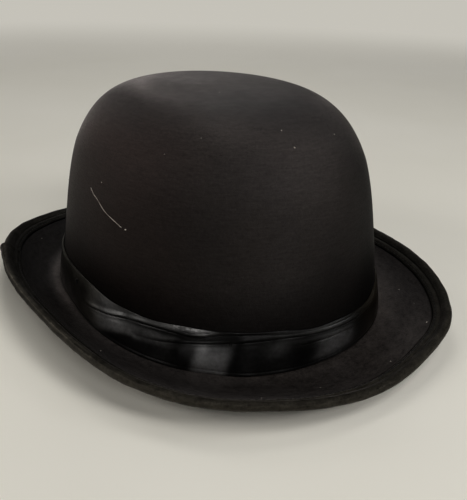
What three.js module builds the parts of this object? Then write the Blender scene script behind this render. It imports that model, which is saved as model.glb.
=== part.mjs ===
// Bowler hat: a dressed costume bowler, taken apart into the pieces it is sewn and glued from.
// Millimetres, +Z up. Origin: centre of the head opening, on the plane the hat rests on.
// Front of the hat is -Y, so the wearer's left, where the bow sits, is +X.
//
// Build-up, from outside to inside at the crown wall:
//   satin band > fabric cover > moulded core > seam tape / lining > sweatband
// and from top to bottom through the brim:
//   top cover > board > under cover, with a cord round the edge and a bias binding folded over it.
import * as THREE from "three";

// ---------------------------------------------------------------- driving dimensions
const SEGMENTS = 48; // round the hat; every ring shares them, so neighbouring layers stay parallel

// plans are superellipses; the crown's is taken outside the cover at the brim break
const CROWN_PLAN = { halfWidth: 88.3, halfLength: 103.3, power: 2.19 };
const CROWN_TOP_PLAN_POWER = 2;
const CROWN_HEIGHT = 117.5; // brim break to top of crown
// wall profile: radius share = (1 - level^CROWN_RISE_POWER)^(1 / CROWN_WALL_POWER)
const CROWN_RISE_POWER = 2.01;
const CROWN_WALL_POWER = 5.13;
const CROWN_WAIST = -0.02; // slight draw-in of the wall, as a share of the radius
const WAIST_SPAN = 1 / 1.4; // the draw-in fades out at this share of the height
const BREAK_SADDLE = 2.3; // the brim break is this much higher at the sides, lower at front and back

const BRIM_PLAN = { halfWidth: 115.3, halfLength: 141.4, power: 2.4 }; // centre of the rolled edge
const EDGE_RISE = 10.1; // mean height of the edge above the mean brim break
const EDGE_CURL = 4; // side curl: added at the sides, taken off at front and back
const EDGE_CURL_FOURFOLD = -0.65; // correction that repeats four times round the edge
const BRIM_SWEEP = 2.3; // how late across its width the brim turns up

const GAP = 0.3; // air left between neighbouring pieces
const COVER_T = 0.8; // crown cover
const CORE_T = 1.6; // moulded crown core
const LINING_T = 0.5;
const SWEAT_T = 1.2;
const SWEAT_H = 32; // sweatband height above the break
const SWEAT_CLEARANCE = 0.4; // sweatband to seam tape
const BRIM_T = 3.2; // whole brim
const BRIM_COVER_T = 0.6;
const BOARD_T = 1.4;
const BINDING_T = 0.5;
const BINDING_W = 6.5; // width of each lip of the binding
const BULB_R = 1.9; // inside radius of the rolled edge
const CORD_R = 1.3;
const BAND_T = 1.2; // satin band with its folds
const BAND_H = 21;
const THREAD = 0.5;

// distances outside the crown cover; inside it they count as depths
const INSIDE = COVER_T + GAP + CORE_T + GAP; // first free depth inside the core
const SWEAT_IN = INSIDE + LINING_T + SWEAT_CLEARANCE;
const THREAD_IN = SWEAT_IN + SWEAT_T + GAP; // first free depth inside the sweatband
const BAND_OUT = GAP + BAND_T;

const DEGREE = Math.PI / 180;

// ---------------------------------------------------------------- the hat's surfaces
// a flat, not a corner, is centred on front, back and each side
const cornerAngle = (index) => ((index + 0.5) * 2 * Math.PI) / SEGMENTS;

// from + (to - from) shared out in equal steps, both ends included
const spread = (from, to, steps) =>
  Array.from({ length: steps + 1 }, (_, k) => from + ((to - from) * k) / steps);

// point at a radius along an angle, at height z
const polar = (angle, radius, z) =>
  new THREE.Vector3(radius * Math.cos(angle), radius * Math.sin(angle), z);

function ovalRadius(angle, { halfWidth, halfLength, power }) {
  const x = Math.pow(Math.abs(Math.cos(angle)) / halfWidth, power);
  const y = Math.pow(Math.abs(Math.sin(angle)) / halfLength, power);
  return 1 / Math.pow(x + y, 1 / power);
}

// the superellipse's own parameter for a direction
function ovalParameter(angle, plan) {
  const radius = ovalRadius(angle, plan);
  const x = (radius * Math.cos(angle)) / plan.halfWidth;
  const y = (radius * Math.sin(angle)) / plan.halfLength;
  const signedPower = (value) => Math.sign(value) * Math.pow(Math.abs(value), plan.power / 2);
  return Math.atan2(signedPower(y), signedPower(x));
}

const breakHeight = (angle) => BREAK_SADDLE * Math.cos(2 * ovalParameter(angle, CROWN_PLAN));

// mean brim break above the rest plane: the flats under front and back of the brim lie on z = 0
const REST_LIFT = BRIM_T - breakHeight(cornerAngle(SEGMENTS / 4));

// outer surface of the crown cover; level runs from 0 at the break to 1 at the top
function crownSurface(angle, level) {
  const waist = 1 + CROWN_WAIST * Math.sin(Math.PI * Math.min(level / WAIST_SPAN, 1));
  const share = Math.pow(1 - Math.pow(level, CROWN_RISE_POWER), 1 / CROWN_WALL_POWER) * waist;
  const power = CROWN_TOP_PLAN_POWER + (CROWN_PLAN.power - CROWN_TOP_PLAN_POWER) * (1 - level);
  const radius = share * ovalRadius(angle, { ...CROWN_PLAN, power });
  const z = REST_LIFT + level * CROWN_HEIGHT + breakHeight(angle) * (1 - level);
  return polar(angle, radius, z);
}

// a point at a height above the break and an offset outside the cover (negative is inside)
function onCrown(angle, height, offset) {
  const level = Math.max(height, 0) / CROWN_HEIGHT;
  if (level >= 0.99999) return new THREE.Vector3(0, 0, REST_LIFT + CROWN_HEIGHT + offset);
  const step = 1e-4;
  const along = crownSurface(angle + step, level).sub(crownSurface(angle - step, level));
  const up =
    level < step
      ? new THREE.Vector3(0, 0, 1)
      : crownSurface(angle, Math.min(level + step, 1)).sub(crownSurface(angle, level - step));
  const normal = along.cross(up).normalize();
  // offset level at the foot, where the wall starts
  if (level < 0.002) normal.setZ(0).normalize();
  const point = crownSurface(angle, level).addScaledVector(normal, offset);
  if (height < 0) point.z += height;
  return point;
}

// middle surface of the brim; across runs from 0 at the break to 1 at the edge, and on past it
function brimMiddle(angle, across) {
  const breakRadius = ovalRadius(angle, CROWN_PLAN);
  const edgeRadius = ovalRadius(angle, BRIM_PLAN);
  const parameter = ovalParameter(angle, BRIM_PLAN);
  const breakZ = breakHeight(angle) - BRIM_T / 2;
  const edgeZ =
    EDGE_RISE + EDGE_CURL * Math.cos(2 * parameter) + EDGE_CURL_FOURFOLD * Math.cos(4 * parameter);
  const rise = across <= 1 ? Math.pow(across, BRIM_SWEEP) : 1 + BRIM_SWEEP * (across - 1);
  const radius = breakRadius + (edgeRadius - breakRadius) * across;
  return polar(angle, radius, REST_LIFT + breakZ + (edgeZ - breakZ) * rise);
}

// length of the brim from break to edge
function brimLength(angle) {
  const points = spread(0, 1, 24).map((across) => brimMiddle(angle, across));
  return points.slice(1).reduce((sum, point, k) => sum + point.distanceTo(points[k]), 0);
}

// a point on the brim: out from the edge (negative inwards), lift above the middle surface
function onBrim(angle, out, lift) {
  const across = 1 + out / brimLength(angle);
  const step = 1e-3;
  const outward = brimMiddle(angle, across + step).sub(brimMiddle(angle, across - step));
  const along = brimMiddle(angle + step, across).sub(brimMiddle(angle - step, across));
  const normal = outward.cross(along).normalize();
  return brimMiddle(angle, across).addScaledVector(normal, lift);
}

// a point on the flat inner rim of the brim, inset inside the break
function onBrimRim(angle, inset, lift) {
  const z = REST_LIFT + breakHeight(angle) - BRIM_T / 2 + lift;
  return polar(angle, ovalRadius(angle, CROWN_PLAN) - inset, z);
}

// ---------------------------------------------------------------- solids from rows of points
// faces must agree in winding; all are flipped together if they point inwards
function solid(points, faces) {
  let volume = 0;
  for (const [a, b, c] of faces) volume += points[a].dot(points[b].clone().cross(points[c]));
  const outward = volume < 0 ? faces.map(([a, b, c]) => [a, c, b]) : faces;
  const geometry = new THREE.BufferGeometry().setFromPoints(points);
  geometry.setIndex(outward.flat());
  geometry.computeVertexNormals();
  return geometry;
}

const quad = (a, b, c, d) => [
  [a, b, c],
  [a, c, d],
];

// closed sections joined in a row; either the last joins the first, or both ends, of four
// corners each, are capped
function loft(sections, closed) {
  const count = sections.length;
  const size = sections[0].length;
  const faces = [];
  for (let k = 0; k < (closed ? count : count - 1); k++) {
    const here = k * size;
    const next = ((k + 1) % count) * size;
    for (let j = 0; j < size; j++) {
      const j2 = (j + 1) % size;
      faces.push(...quad(here + j, next + j, next + j2, here + j2));
    }
  }
  if (!closed) {
    const last = (count - 1) * size;
    faces.push(...quad(0, 1, 2, 3), ...quad(last + 3, last + 2, last + 1, last));
  }
  return solid(sections.flat(), faces);
}

const CORNER_ANGLES = Array.from({ length: SEGMENTS }, (_, i) => cornerAngle(i));

// a section carried all the way round the hat
const ring = (sectionAt) => loft(CORNER_ANGLES.map(sectionAt), true);

// section of a layer that follows the crown wall, between two offsets
const wallSection = (heights, firstOffset, secondOffset) => (angle) => [
  ...heights.map((height) => onCrown(angle, height, firstOffset)),
  ...heights.map((height) => onCrown(angle, height, secondOffset)).reverse(),
];

// a thin dome: two skins, each closed at the top by a point, joined along the bottom edge
function dome(heights, outerOffset, innerOffset) {
  const points = [];
  for (const offset of [outerOffset, innerOffset]) {
    for (const height of heights) {
      points.push(...CORNER_ANGLES.map((angle) => onCrown(angle, height, offset)));
    }
    points.push(onCrown(0, CROWN_HEIGHT, offset));
  }
  const topRow = (heights.length - 1) * SEGMENTS;
  const apex = topRow + SEGMENTS;
  const innerStart = apex + 1;
  const faces = [];
  // the inner skin is the outer one turned inside out
  const addToSkins = (a, b, c) =>
    faces.push([a, b, c], [innerStart + a, innerStart + c, innerStart + b]);
  for (let i = 0; i < SEGMENTS; i++) {
    const i2 = (i + 1) % SEGMENTS;
    for (let row = 0; row < topRow; row += SEGMENTS) {
      const above = row + SEGMENTS;
      addToSkins(row + i, row + i2, above + i2);
      addToSkins(row + i, above + i2, above + i);
    }
    addToSkins(topRow + i, topRow + i2, apex);
    faces.push([i2, i, innerStart + i], [i2, innerStart + i, innerStart + i2]);
  }
  return solid(points, faces);
}

// ---------------------------------------------------------------- materials
const LOOKS = {
  crown: { color: 0x171514, roughness: 0.9 },
  brim: { color: 0x161514, roughness: 0.9 },
  binding: { color: 0x1b1a17, roughness: 0.85 },
  satin: { color: 0x08080a, roughness: 0.28 },
  lining: { color: 0x101012, roughness: 0.4 },
  sweat: { color: 0x131211, roughness: 0.8 },
  core: { color: 0x2a2927, roughness: 0.7 },
  cord: { color: 0x35342f, roughness: 0.6 },
  thread: { color: 0x0d0d0d, roughness: 0.7 },
  label: { color: 0x8c8a84, roughness: 0.8 },
};
const materials = Object.fromEntries(
  Object.entries(LOOKS).map(([name, look]) => [
    name,
    new THREE.MeshStandardMaterial({ name, ...look, metalness: 0 }),
  ]),
);

const hat = new THREE.Group();
function piece(name, material, geometry) {
  const mesh = new THREE.Mesh(geometry, materials[material]);
  mesh.name = name;
  hat.add(mesh);
  return mesh;
}

// ---------------------------------------------------------------- crown
// fabric skin over a moulded stiff core
const DOME_FOOT = 0.3; // lowest edge above the break
// rows above the foot, as shares of the crown height
const DOME_LEVELS = [0.09, 0.2, 0.33, 0.47, 0.6, 0.72, 0.82, 0.895, 0.945, 0.977, 0.9945];
const domeHeights = [DOME_FOOT, ...DOME_LEVELS.map((level) => level * CROWN_HEIGHT)];
const CORE_OUT = COVER_T + GAP;
piece("crown_cover", "crown", dome(domeHeights, 0, -COVER_T));
piece("crown_core", "core", dome(domeHeights, -CORE_OUT, -(CORE_OUT + CORE_T)));

piece("crown_seam_tape", "sweat", ring(wallSection([0.6, 18], -INSIDE, -(INSIDE + LINING_T))));

const LINING_FOOT = 22; // above the break
const LINING_TOP_LEVEL = 0.93;
const LINING_LEVELS = [0.33, 0.47, 0.6, 0.72, 0.82, 0.895, LINING_TOP_LEVEL];
const liningHeights = [LINING_FOOT, ...LINING_LEVELS.map((level) => level * CROWN_HEIGHT)];
piece("lining_side", "lining", ring(wallSection(liningHeights, -INSIDE, -(INSIDE + LINING_T))));

// flat oval tip panel of the lining, hung just under the top of the crown
function addLiningTip() {
  const share = 0.585; // of the crown plan
  const plan = { ...CROWN_PLAN, power: 2.05 };
  const outline = CORNER_ANGLES.map((angle) => {
    const radius = share * ovalRadius(angle, plan);
    return new THREE.Vector2(radius * Math.cos(angle), radius * Math.sin(angle));
  });
  const shape = new THREE.Shape(outline);
  shape.closePath();
  const geometry = new THREE.ExtrudeGeometry(shape, { depth: LINING_T, bevelEnabled: false });
  const tip = piece("lining_tip", "lining", geometry);
  tip.position.z = REST_LIFT + LINING_TOP_LEVEL * CROWN_HEIGHT - INSIDE - 2 * LINING_T;
}
addLiningTip();

// ---------------------------------------------------------------- sweatband
// a doubled tape standing inside the opening, its lockstitch, and a blank size label at the back
const SWEAT_FOOT = -BRIM_T + 0.35;
const sweatHeights = spread(SWEAT_FOOT, SWEAT_H, 3);
piece("sweatband", "sweat", ring(wallSection(sweatHeights, -SWEAT_IN, -(SWEAT_IN + SWEAT_T))));

const STITCH_H = 1.2; // lower side of the lockstitch above the break
piece(
  "sweatband_stitching",
  "thread",
  ring(wallSection([STITCH_H, STITCH_H + THREAD], -THREAD_IN, -(THREAD_IN + THREAD))),
);

const LABEL_T = 0.4;
const labelSection = wallSection([8, 22], -THREAD_IN, -(THREAD_IN + LABEL_T));
const labelAngles = CORNER_ANGLES.slice(10, 14); // three segments, centred on the back
piece("size_label", "label", loft(labelAngles.map(labelSection), false));

// ---------------------------------------------------------------- satin band
// round the foot of the crown, caught down with thread tacks
piece("hat_band", "satin", ring(wallSection([0.7, BAND_H / 2, BAND_H], BAND_OUT, GAP)));

const TACK_H = 15.6; // middle of a tack above the break
const TACK_HALF_LENGTH = 1.8;
const TACK_HALF_ANGLE = 0.35 / 95; // half width over a nominal crown radius
const TACK_IN = BAND_OUT + GAP;
function addTack(name, angle) {
  const sections = [-TACK_HALF_LENGTH, TACK_HALF_LENGTH].map((rise) => {
    const corner = (side, offset) =>
      onCrown(angle + side * TACK_HALF_ANGLE, TACK_H + rise, offset);
    return [
      corner(-1, TACK_IN),
      corner(1, TACK_IN),
      corner(1, TACK_IN + THREAD),
      corner(-1, TACK_IN + THREAD),
    ];
  });
  piece(name, "thread", loft(sections, false));
}
addTack("band_tack_front", -117 * DEGREE);
addTack("band_tack_right", 180 * DEGREE);
addTack("band_tack_back", 90 * DEGREE);

// ---------------------------------------------------------------- bow
// flat, on the wearer's left: a folded loop each way, and a knot wrapped round the middle
const BOW_H = 11; // middle of the bow above the break
const RIBBON_HALF_T = 0.2; // half the ribbon's doubled thickness
const BOW_BACK = BAND_OUT + GAP; // back of the knot
const LOOP_IN = BOW_BACK + 0.5 + GAP; // leaves 0.5 for the knot's back ply
const LOOP_OUT = LOOP_IN + 2.3;

// half the ribbon's thickness, square to the line between two path points
function ribbonOffset(before, after) {
  const run = after[0] - before[0];
  const rise = after[1] - before[1];
  const scale = RIBBON_HALF_T / Math.hypot(run, rise);
  return [-rise * scale, run * scale];
}

// out along the back, round the end and in along the front:
// degrees from the middle of the bow, distance outside LOOP_IN, ribbon width
const LOOP_PATH = [
  [1.2, 0.25, 15], [6, 0.25, 17], [12, 0.25, 18.4], [17, 0.25, 18.8],
  [19, 0.7, 18.8], [19.4, 1.2, 18.8], [19, 1.7, 18.8],
  [17, 2.2, 18.8], [12, 2.2, 18.4], [6, 2.2, 17], [1.2, 2.2, 15],
];
// side: -1 towards the front, 1 towards the back
function addLoop(name, side) {
  const radius = CROWN_PLAN.halfWidth;
  const path = LOOP_PATH.map(([degrees, depth, width]) => [
    degrees * DEGREE * radius,
    LOOP_IN + depth,
    width,
  ]);
  const sections = path.map(([run, offset, width], k) => {
    const before = path[Math.max(k - 1, 0)];
    const after = path[Math.min(k + 1, path.length - 1)];
    const [shiftRun, shiftOffset] = ribbonOffset(before, after);
    const corner = (face, edge) =>
      onCrown(
        (side * (run + face * shiftRun)) / radius,
        BOW_H + (edge * width) / 2,
        offset + face * shiftOffset,
      );
    return [corner(1, -1), corner(1, 1), corner(-1, 1), corner(-1, -1)];
  });
  piece(name, "satin", loft(sections, false));
}
addLoop("bow_loop_front", -1);
addLoop("bow_loop_back", 1);

const KNOT_HALF_H = 8.8; // straight part
const KNOT_BULGE = 0.75; // roundness beyond the straight part, top and bottom
const KNOT_HALF_ANGLE = 5.6 / CROWN_PLAN.halfWidth;
// closed wrap: up the back, over, down the front
function addKnot() {
  const low = BOW_H - KNOT_HALF_H;
  const high = BOW_H + KNOT_HALF_H;
  const back = BOW_BACK + RIBBON_HALF_T;
  const front = LOOP_OUT + GAP + 0.35;
  const middle = (back + front) / 2;
  // height above the break, offset outside the cover
  const path = [
    [low, back], [BOW_H, back], [high, back], [high + KNOT_BULGE, middle],
    [high, front], [BOW_H, front], [low, front], [low - KNOT_BULGE, middle],
  ];
  const sections = path.map(([height, offset], k) => {
    const before = path[(k + path.length - 1) % path.length];
    const after = path[(k + 1) % path.length];
    const [shiftHeight, shiftOffset] = ribbonOffset(before, after);
    const corner = (side, face) =>
      onCrown(side * KNOT_HALF_ANGLE, height + face * shiftHeight, offset + face * shiftOffset);
    return [corner(-1, 1), corner(1, 1), corner(1, -1), corner(-1, -1)];
  });
  piece("bow_knot", "satin", loft(sections, true));
}
addKnot();

// ---------------------------------------------------------------- brim
// board between two fabric covers
const RIM_INSET = SWEAT_IN - GAP; // the brim's inner edge stops just outside the sweatband
const EDGE_STOP = BULB_R + GAP; // covers and board stop short of the rolled edge
const BRIM_LEVELS = [0.14, 0.32, 0.5, 0.68, 0.84, 1]; // shares of the way from break to stop

function brimLayer(top, bottom) {
  const face = (angle, lift) => {
    const length = brimLength(angle);
    return [
      onBrimRim(angle, RIM_INSET, lift),
      onBrimRim(angle, 0, lift),
      ...BRIM_LEVELS.map((level) => onBrim(angle, (length - EDGE_STOP) * level - length, lift)),
    ];
  };
  return ring((angle) => [...face(angle, top), ...face(angle, bottom).reverse()]);
}
piece("brim_top_cover", "brim", brimLayer(BRIM_T / 2, BRIM_T / 2 - BRIM_COVER_T));
piece("brim_board", "core", brimLayer(BOARD_T / 2, -BOARD_T / 2));
piece("brim_under_cover", "brim", brimLayer(-BRIM_T / 2 + BRIM_COVER_T, -BRIM_T / 2));

// ---------------------------------------------------------------- rolled edge
// profiles are [out from the edge, lift above the middle surface]
const brimRing = (profile) =>
  ring((angle) => profile.map(([out, lift]) => onBrim(angle, out, lift)));

const arc = (radius, fromDegrees, toDegrees, steps) =>
  spread(fromDegrees, toDegrees, steps).map((degrees) => [
    radius * Math.cos(degrees * DEGREE),
    radius * Math.sin(degrees * DEGREE),
  ]);

// six-sided cord
piece("brim_wire", "cord", brimRing(arc(CORD_R, 0, 300, 5)));

// bias binding folded over the cord, with a lip on each face of the brim
const BINDING_R = BULB_R + BINDING_T;
const bindingSkin = (radius) => [
  [-BINDING_W, radius],
  [-BINDING_W / 2, radius],
  ...arc(radius, 90, -90, 6),
  [-BINDING_W / 2, -radius],
  [-BINDING_W, -radius],
];
piece(
  "brim_binding",
  "binding",
  brimRing([...bindingSkin(BINDING_R), ...bindingSkin(BULB_R).reverse()]),
);

// a line of stitching near the inner edge of each lip; side: 1 on top, -1 underneath
function bindingSeam(side) {
  const inner = -BINDING_W + 1.2;
  const outer = inner + THREAD;
  const near = side * (BINDING_R + GAP);
  const far = side * (BINDING_R + GAP + 0.35);
  return brimRing([
    [inner, near],
    [outer, near],
    [outer, far],
    [inner, far],
  ]);
}
piece("binding_stitching_top", "thread", bindingSeam(1));
piece("binding_stitching_under", "thread", bindingSeam(-1));

export default hat;
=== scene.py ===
"""Bowler hat: a napped cloth crown and curled brim, a draped satin band with a flat bow, a bound
and stitched brim edge, a lining and a sweatband.

The hat stands on the floor with +Z up, its length along Y: front at -Y, wearer's left at +X. Every
piece follows two surfaces, the crown dome and the brim. Shape functions work in millimetres,
Blender in metres. "turn" is the angle round the hat in radians, anticlockwise from +X; "high" is
mm above the break, the line where the crown meets the brim; "out" is mm outside the crown cover.
"""

import math

import bmesh
import bpy
import numpy as np
from mathutils import Matrix, Vector


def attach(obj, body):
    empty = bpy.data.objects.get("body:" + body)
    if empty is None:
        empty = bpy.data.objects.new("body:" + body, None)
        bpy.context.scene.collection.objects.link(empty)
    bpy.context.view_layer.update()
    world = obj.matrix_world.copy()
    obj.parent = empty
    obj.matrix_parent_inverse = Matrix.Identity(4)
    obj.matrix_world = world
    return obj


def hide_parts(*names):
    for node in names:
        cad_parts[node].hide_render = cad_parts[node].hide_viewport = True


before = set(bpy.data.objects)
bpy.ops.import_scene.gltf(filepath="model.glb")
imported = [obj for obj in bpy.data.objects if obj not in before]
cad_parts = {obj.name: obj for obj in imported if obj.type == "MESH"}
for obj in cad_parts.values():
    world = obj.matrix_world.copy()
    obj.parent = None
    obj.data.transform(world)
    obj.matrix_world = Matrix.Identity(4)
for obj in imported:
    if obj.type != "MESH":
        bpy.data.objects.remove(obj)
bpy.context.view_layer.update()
TAU = 2 * np.pi
DEG = np.pi / 180

# ---------------------------------------------------------------- main sizes (mm)
CROWN_OVAL = (88.3, 103.3, 2.19)  # at the break: half width, half length, power of the oval
BRIM_OVAL = (115.3, 141.4, 2.4)  # at the brim edge
CROWN_H = 117.5
CROWN_POWERS = (2.01, 5.13)  # how the dome's profile closes
WAIST = -0.02  # share the crown swells (+) or narrows (-) part way up
SADDLE = 2.3  # rise and fall of the break round the hat
RISE, CURL, CURL4 = 10.1, 4.0, -0.65  # edge height: mean, two waves round, four waves round
SWEEP = 2.3  # power of the brim's upward curve
BRIM_T = 3.2

COVER_T, GAP, CORE_T, LINING_T = 0.8, 0.3, 1.6, 0.5
INSIDE = COVER_T + GAP + CORE_T + GAP
SWEAT_T, SWEAT_H = 1.2, 32.0
SWEAT_IN = INSIDE + LINING_T + 0.4
SWEAT_FACE = SWEAT_IN + SWEAT_T
TIP_HIGH = 0.93 * CROWN_H  # where the lining's wall ends

BAND_MIDDLE = 10.9  # height of the middle of the bow
TACK_HIGH = 15.6
TACKS = [("front", -117), ("right", 180), ("back", 90)]  # name, degrees

BIND_W, EDGE_STOP = 6.5, 2.2  # lip width of the binding; where the plies end, inside the edge
STITCH_U, FOLD_U, CREASE_U = -5.35, -7.05, -2.85  # stitches, groove inside the lip, crease
BULB_R, BULB_IN_R = 2.4, 1.9  # the binding round the edge: outside and inside
LAP_DEG = -213.0  # where the binding's free end laps, at the back on the wearer's right


# ---------------------------------------------------------------- small maths
def unit(vector):
    return vector / np.linalg.norm(vector, axis=-1, keepdims=True)


def polar(radius, turn, z):
    parts = np.broadcast_arrays(radius * np.cos(turn), radius * np.sin(turn), z)
    return np.stack(parts, -1)


def turns(count):
    return (np.arange(count) + 0.5) * TAU / count


def waves(turn, terms):
    """Sum of (amplitude, whole number of waves round the hat, phase)."""
    return sum(size * np.cos(count * turn + phase) for size, count, phase in terms)


def bump(x, centre, width, power=2):
    return np.exp(-(np.abs((x - centre) / width) ** power))


def fade(x, start, span):
    """0 at the start to 1 a span further on."""
    return np.clip((x - start) / span, 0, 1)


def over(x, soft):
    """A soft step from 0 to 1 at x = 0."""
    return 1 / (1 + np.exp(-np.clip(x / soft, -30, 30)))


def patches(first, second, rows, shape=bump):
    """Sum of amount * bump(first) * shape(second), from rows of (amount, centre and width in
    first, two numbers for the shape in second, and perhaps the power of the first bump)."""
    return sum(
        amount * bump(first, centre, width, *power) * shape(second, place, size)
        for amount, centre, width, place, size, *power in rows
    )


def wrap(deg):
    return (deg + 180) % 360 - 180


def near_degrees(turn):
    """Degrees in -270 to 90, so the front and the wearer's right are one unbroken run."""
    deg = wrap(np.degrees(turn))
    return np.where(deg > 90, deg - 360, deg)


def around(turn, knots, sigma):
    """A value round the hat: linear between (degrees, value) knots, blurred by sigma degrees."""
    deg, value = np.array(knots, float).T
    count = 1440
    grid = np.arange(count) * 360.0 / count
    line = np.interp(grid, deg, value, period=360)
    freq = np.fft.rfftfreq(count, 360.0 / count)
    blur = np.exp(-2 * (np.pi * sigma * freq) ** 2)
    line = np.fft.irfft(np.fft.rfft(line) * blur, count)
    return np.interp(np.degrees(turn) % 360, grid, line, period=360)


# ---------------------------------------------------------------- the hat's surfaces
def oval_radius(turn, half_x, half_y, power):
    total = np.abs(np.cos(turn) / half_x) ** power + np.abs(np.sin(turn) / half_y) ** power
    return total ** (-1.0 / power)


def oval_phase(turn, half_x, half_y, power):
    radius = oval_radius(turn, half_x, half_y, power)
    x, y = radius * np.cos(turn) / half_x, radius * np.sin(turn) / half_y
    half = power / 2
    return np.arctan2(np.sign(y) * np.abs(y) ** half, np.sign(x) * np.abs(x) ** half)


def break_height(turn):
    return SADDLE * np.cos(2 * oval_phase(turn, *CROWN_OVAL))


LIFT = BRIM_T - float(break_height(np.array(12.5 * TAU / 48)))
TOP = LIFT + CROWN_H


def crown_surface(turn, share):
    """The cover's face at a share of the crown's height."""
    half_x, half_y, power = CROWN_OVAL
    first, second = CROWN_POWERS
    capped = np.clip(share, 0, 0.999999)
    size = (1 - capped**first) ** (1 / second)
    size = size * (1 + WAIST * np.sin(np.pi * np.minimum(capped * 1.4, 1)))
    radius = oval_radius(turn, half_x * size, half_y * size, 2 + (power - 2) * (1 - capped))
    return polar(radius, turn, LIFT + share * CROWN_H + break_height(turn) * (1 - capped))


def on_crown(turn, high, out):
    turn, high, out = np.broadcast_arrays(turn, high, out)
    share = np.clip(high, 0, None) / CROWN_H
    step = 1e-4
    along = crown_surface(turn + step, share) - crown_surface(turn - step, share)
    above = crown_surface(turn, np.minimum(share + step, 0.99999))
    normal = np.cross(along, above - crown_surface(turn, np.maximum(share - step, 0)))
    normal[..., 2] = np.where(share < 0.002, 0, normal[..., 2])
    point = crown_surface(turn, share) + unit(normal) * out[..., None]
    point[..., 2] += np.where(high < 0, high, 0)
    return point


def crown_normal(turn, high):
    return on_crown(turn, high, 1.0) - on_crown(turn, high, 0.0)


# the edge's hand-shaped departure from its true curve: degrees, mm outwards, mm up
WARP = np.array([
    (-250, -1.6, -2.6), (-240, -0.9, -2.2), (-230, 0.6, -1.0), (-220, 1.21, 0.06),
    (-210, 1.23, 0.26), (-200, 1.37, 0.23), (-190, 0.58, 0.31), (-180, -0.17, 0.30),
    (-170, -1.08, 0.31), (-160, -1.64, 0.23), (-150, -1.10, -0.10), (-140, 0.09, -0.45),
    (-130, 0.38, 0.03), (-120, 0.02, 0.80), (-110, -0.48, 1.36), (-100, 0.48, 0.27),
    (-90, 0.90, -1.41), (-80, -1.11, -1.30), (-70, -2.28, -0.85), (-60, 0.91, -1.33),
    (-50, 0.86, -1.91), (-40, 1.16, -1.82), (-30, 1.65, -1.63), (-20, 1.65, -1.90),
    (-10, 0.61, -2.20), (5, 0.3, -1.2), (25, 0.0, -0.4), (50, 0.0, 0.0), (80, -0.4, -0.8),
])
WARP_DEG = np.arange(720) * 0.5
WARP_OUT, WARP_UP = (around(WARP_DEG * DEG, WARP[:, [0, k]], 3.2) for k in (1, 2))


def brim_middle(turn, share):
    """The brim's middle surface at a share of the way from the break to the edge."""
    turn, share = np.broadcast_arrays(turn, share)
    deg = np.degrees(turn) % 360
    inner = oval_radius(turn, *CROWN_OVAL)
    outer = oval_radius(turn, *BRIM_OVAL) + np.interp(deg, WARP_DEG, WARP_OUT, period=360)
    phase = oval_phase(turn, *BRIM_OVAL)
    foot = break_height(turn) - BRIM_T / 2
    edge = RISE + CURL * np.cos(2 * phase) + CURL4 * np.cos(4 * phase)
    edge = edge + np.interp(deg, WARP_DEG, WARP_UP, period=360)
    curve = np.where(share <= 1, np.clip(share, 1e-9, 1) ** SWEEP, 1 + SWEEP * (share - 1))
    curve = np.where(share <= 0, 0, curve)
    return polar(inner + (outer - inner) * share, turn, LIFT + foot + (edge - foot) * curve)


def brim_length(turn):
    points = brim_middle(turn[..., None], np.linspace(0, 1, 25))
    return np.linalg.norm(np.diff(points, axis=-2), axis=-1).sum(-1)


def on_brim(turn, inset, lift):
    """Points inset mm from the edge (negative inwards), lift mm above the middle surface."""
    turn, inset, lift = np.broadcast_arrays(turn, inset, lift)
    share = 1 + inset / brim_length(turn)
    step = 1e-3
    outward = brim_middle(turn, share + step) - brim_middle(turn, share - step)
    along = brim_middle(turn + step, share) - brim_middle(turn - step, share)
    return brim_middle(turn, share) + unit(np.cross(outward, along)) * lift[..., None]


def on_rim(turn, depth, lift):
    """Points on the flat inner rim of the brim, depth mm inside the break."""
    z = LIFT + break_height(turn) - BRIM_T / 2 + lift
    return polar(oval_radius(turn, *CROWN_OVAL) - depth, turn, z)


def brim_swell(turn, inset):
    """The hand-shaped brim: slow swells that fade towards the crown."""
    swell = waves(turn, [(0.16, 7, 0.9), (0.12, 11, 2.1), (0.07, 19, 0.2)])
    return np.clip(1 + inset / 34.0, 0, 1) * swell


# ---------------------------------------------------------------- meshes
def mesh_object(name, verts, faces, uvs=None, sharp=38):
    mesh = bpy.data.meshes.new(name)
    mesh.from_pydata((np.asarray(verts) / 1000.0).tolist(), [], faces)
    if uvs is not None:
        layer = mesh.uv_layers.new(name="cloth")
        layer.data.foreach_set("uv", np.asarray(uvs, np.float32).ravel())
    mesh.validate()
    mesh.update()
    mesh.shade_smooth()
    mesh.set_sharp_from_angle(angle=math.radians(sharp))
    piece = bpy.data.objects.new(name, mesh)
    bpy.context.scene.collection.objects.link(piece)
    return piece


def face_out(piece):
    work = bmesh.new()
    work.from_mesh(piece.data)
    bmesh.ops.recalc_face_normals(work, faces=work.faces)
    work.to_mesh(piece.data)
    work.free()
    piece.data.update()


def paint(piece, name, values):
    layer = piece.data.attributes.new(name, "FLOAT", "POINT")
    layer.data.foreach_set("value", np.asarray(values, np.float32).ravel())


def quads(rows, columns, wrapped=False):
    """Faces of a grid whose columns close round; its rows close too when wrapped."""
    row_count = rows if wrapped else rows - 1
    i, j = np.meshgrid(np.arange(row_count), np.arange(columns), indexing="ij")
    this, after, beside = i * columns, (i + 1) % rows * columns, (j + 1) % columns
    return np.stack([this + j, this + beside, after + beside, after + j], -1).reshape(-1, 4)


def fan(start, count, pole):
    return [[start + i, start + (i + 1) % count, pole] for i in range(count)]


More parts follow.
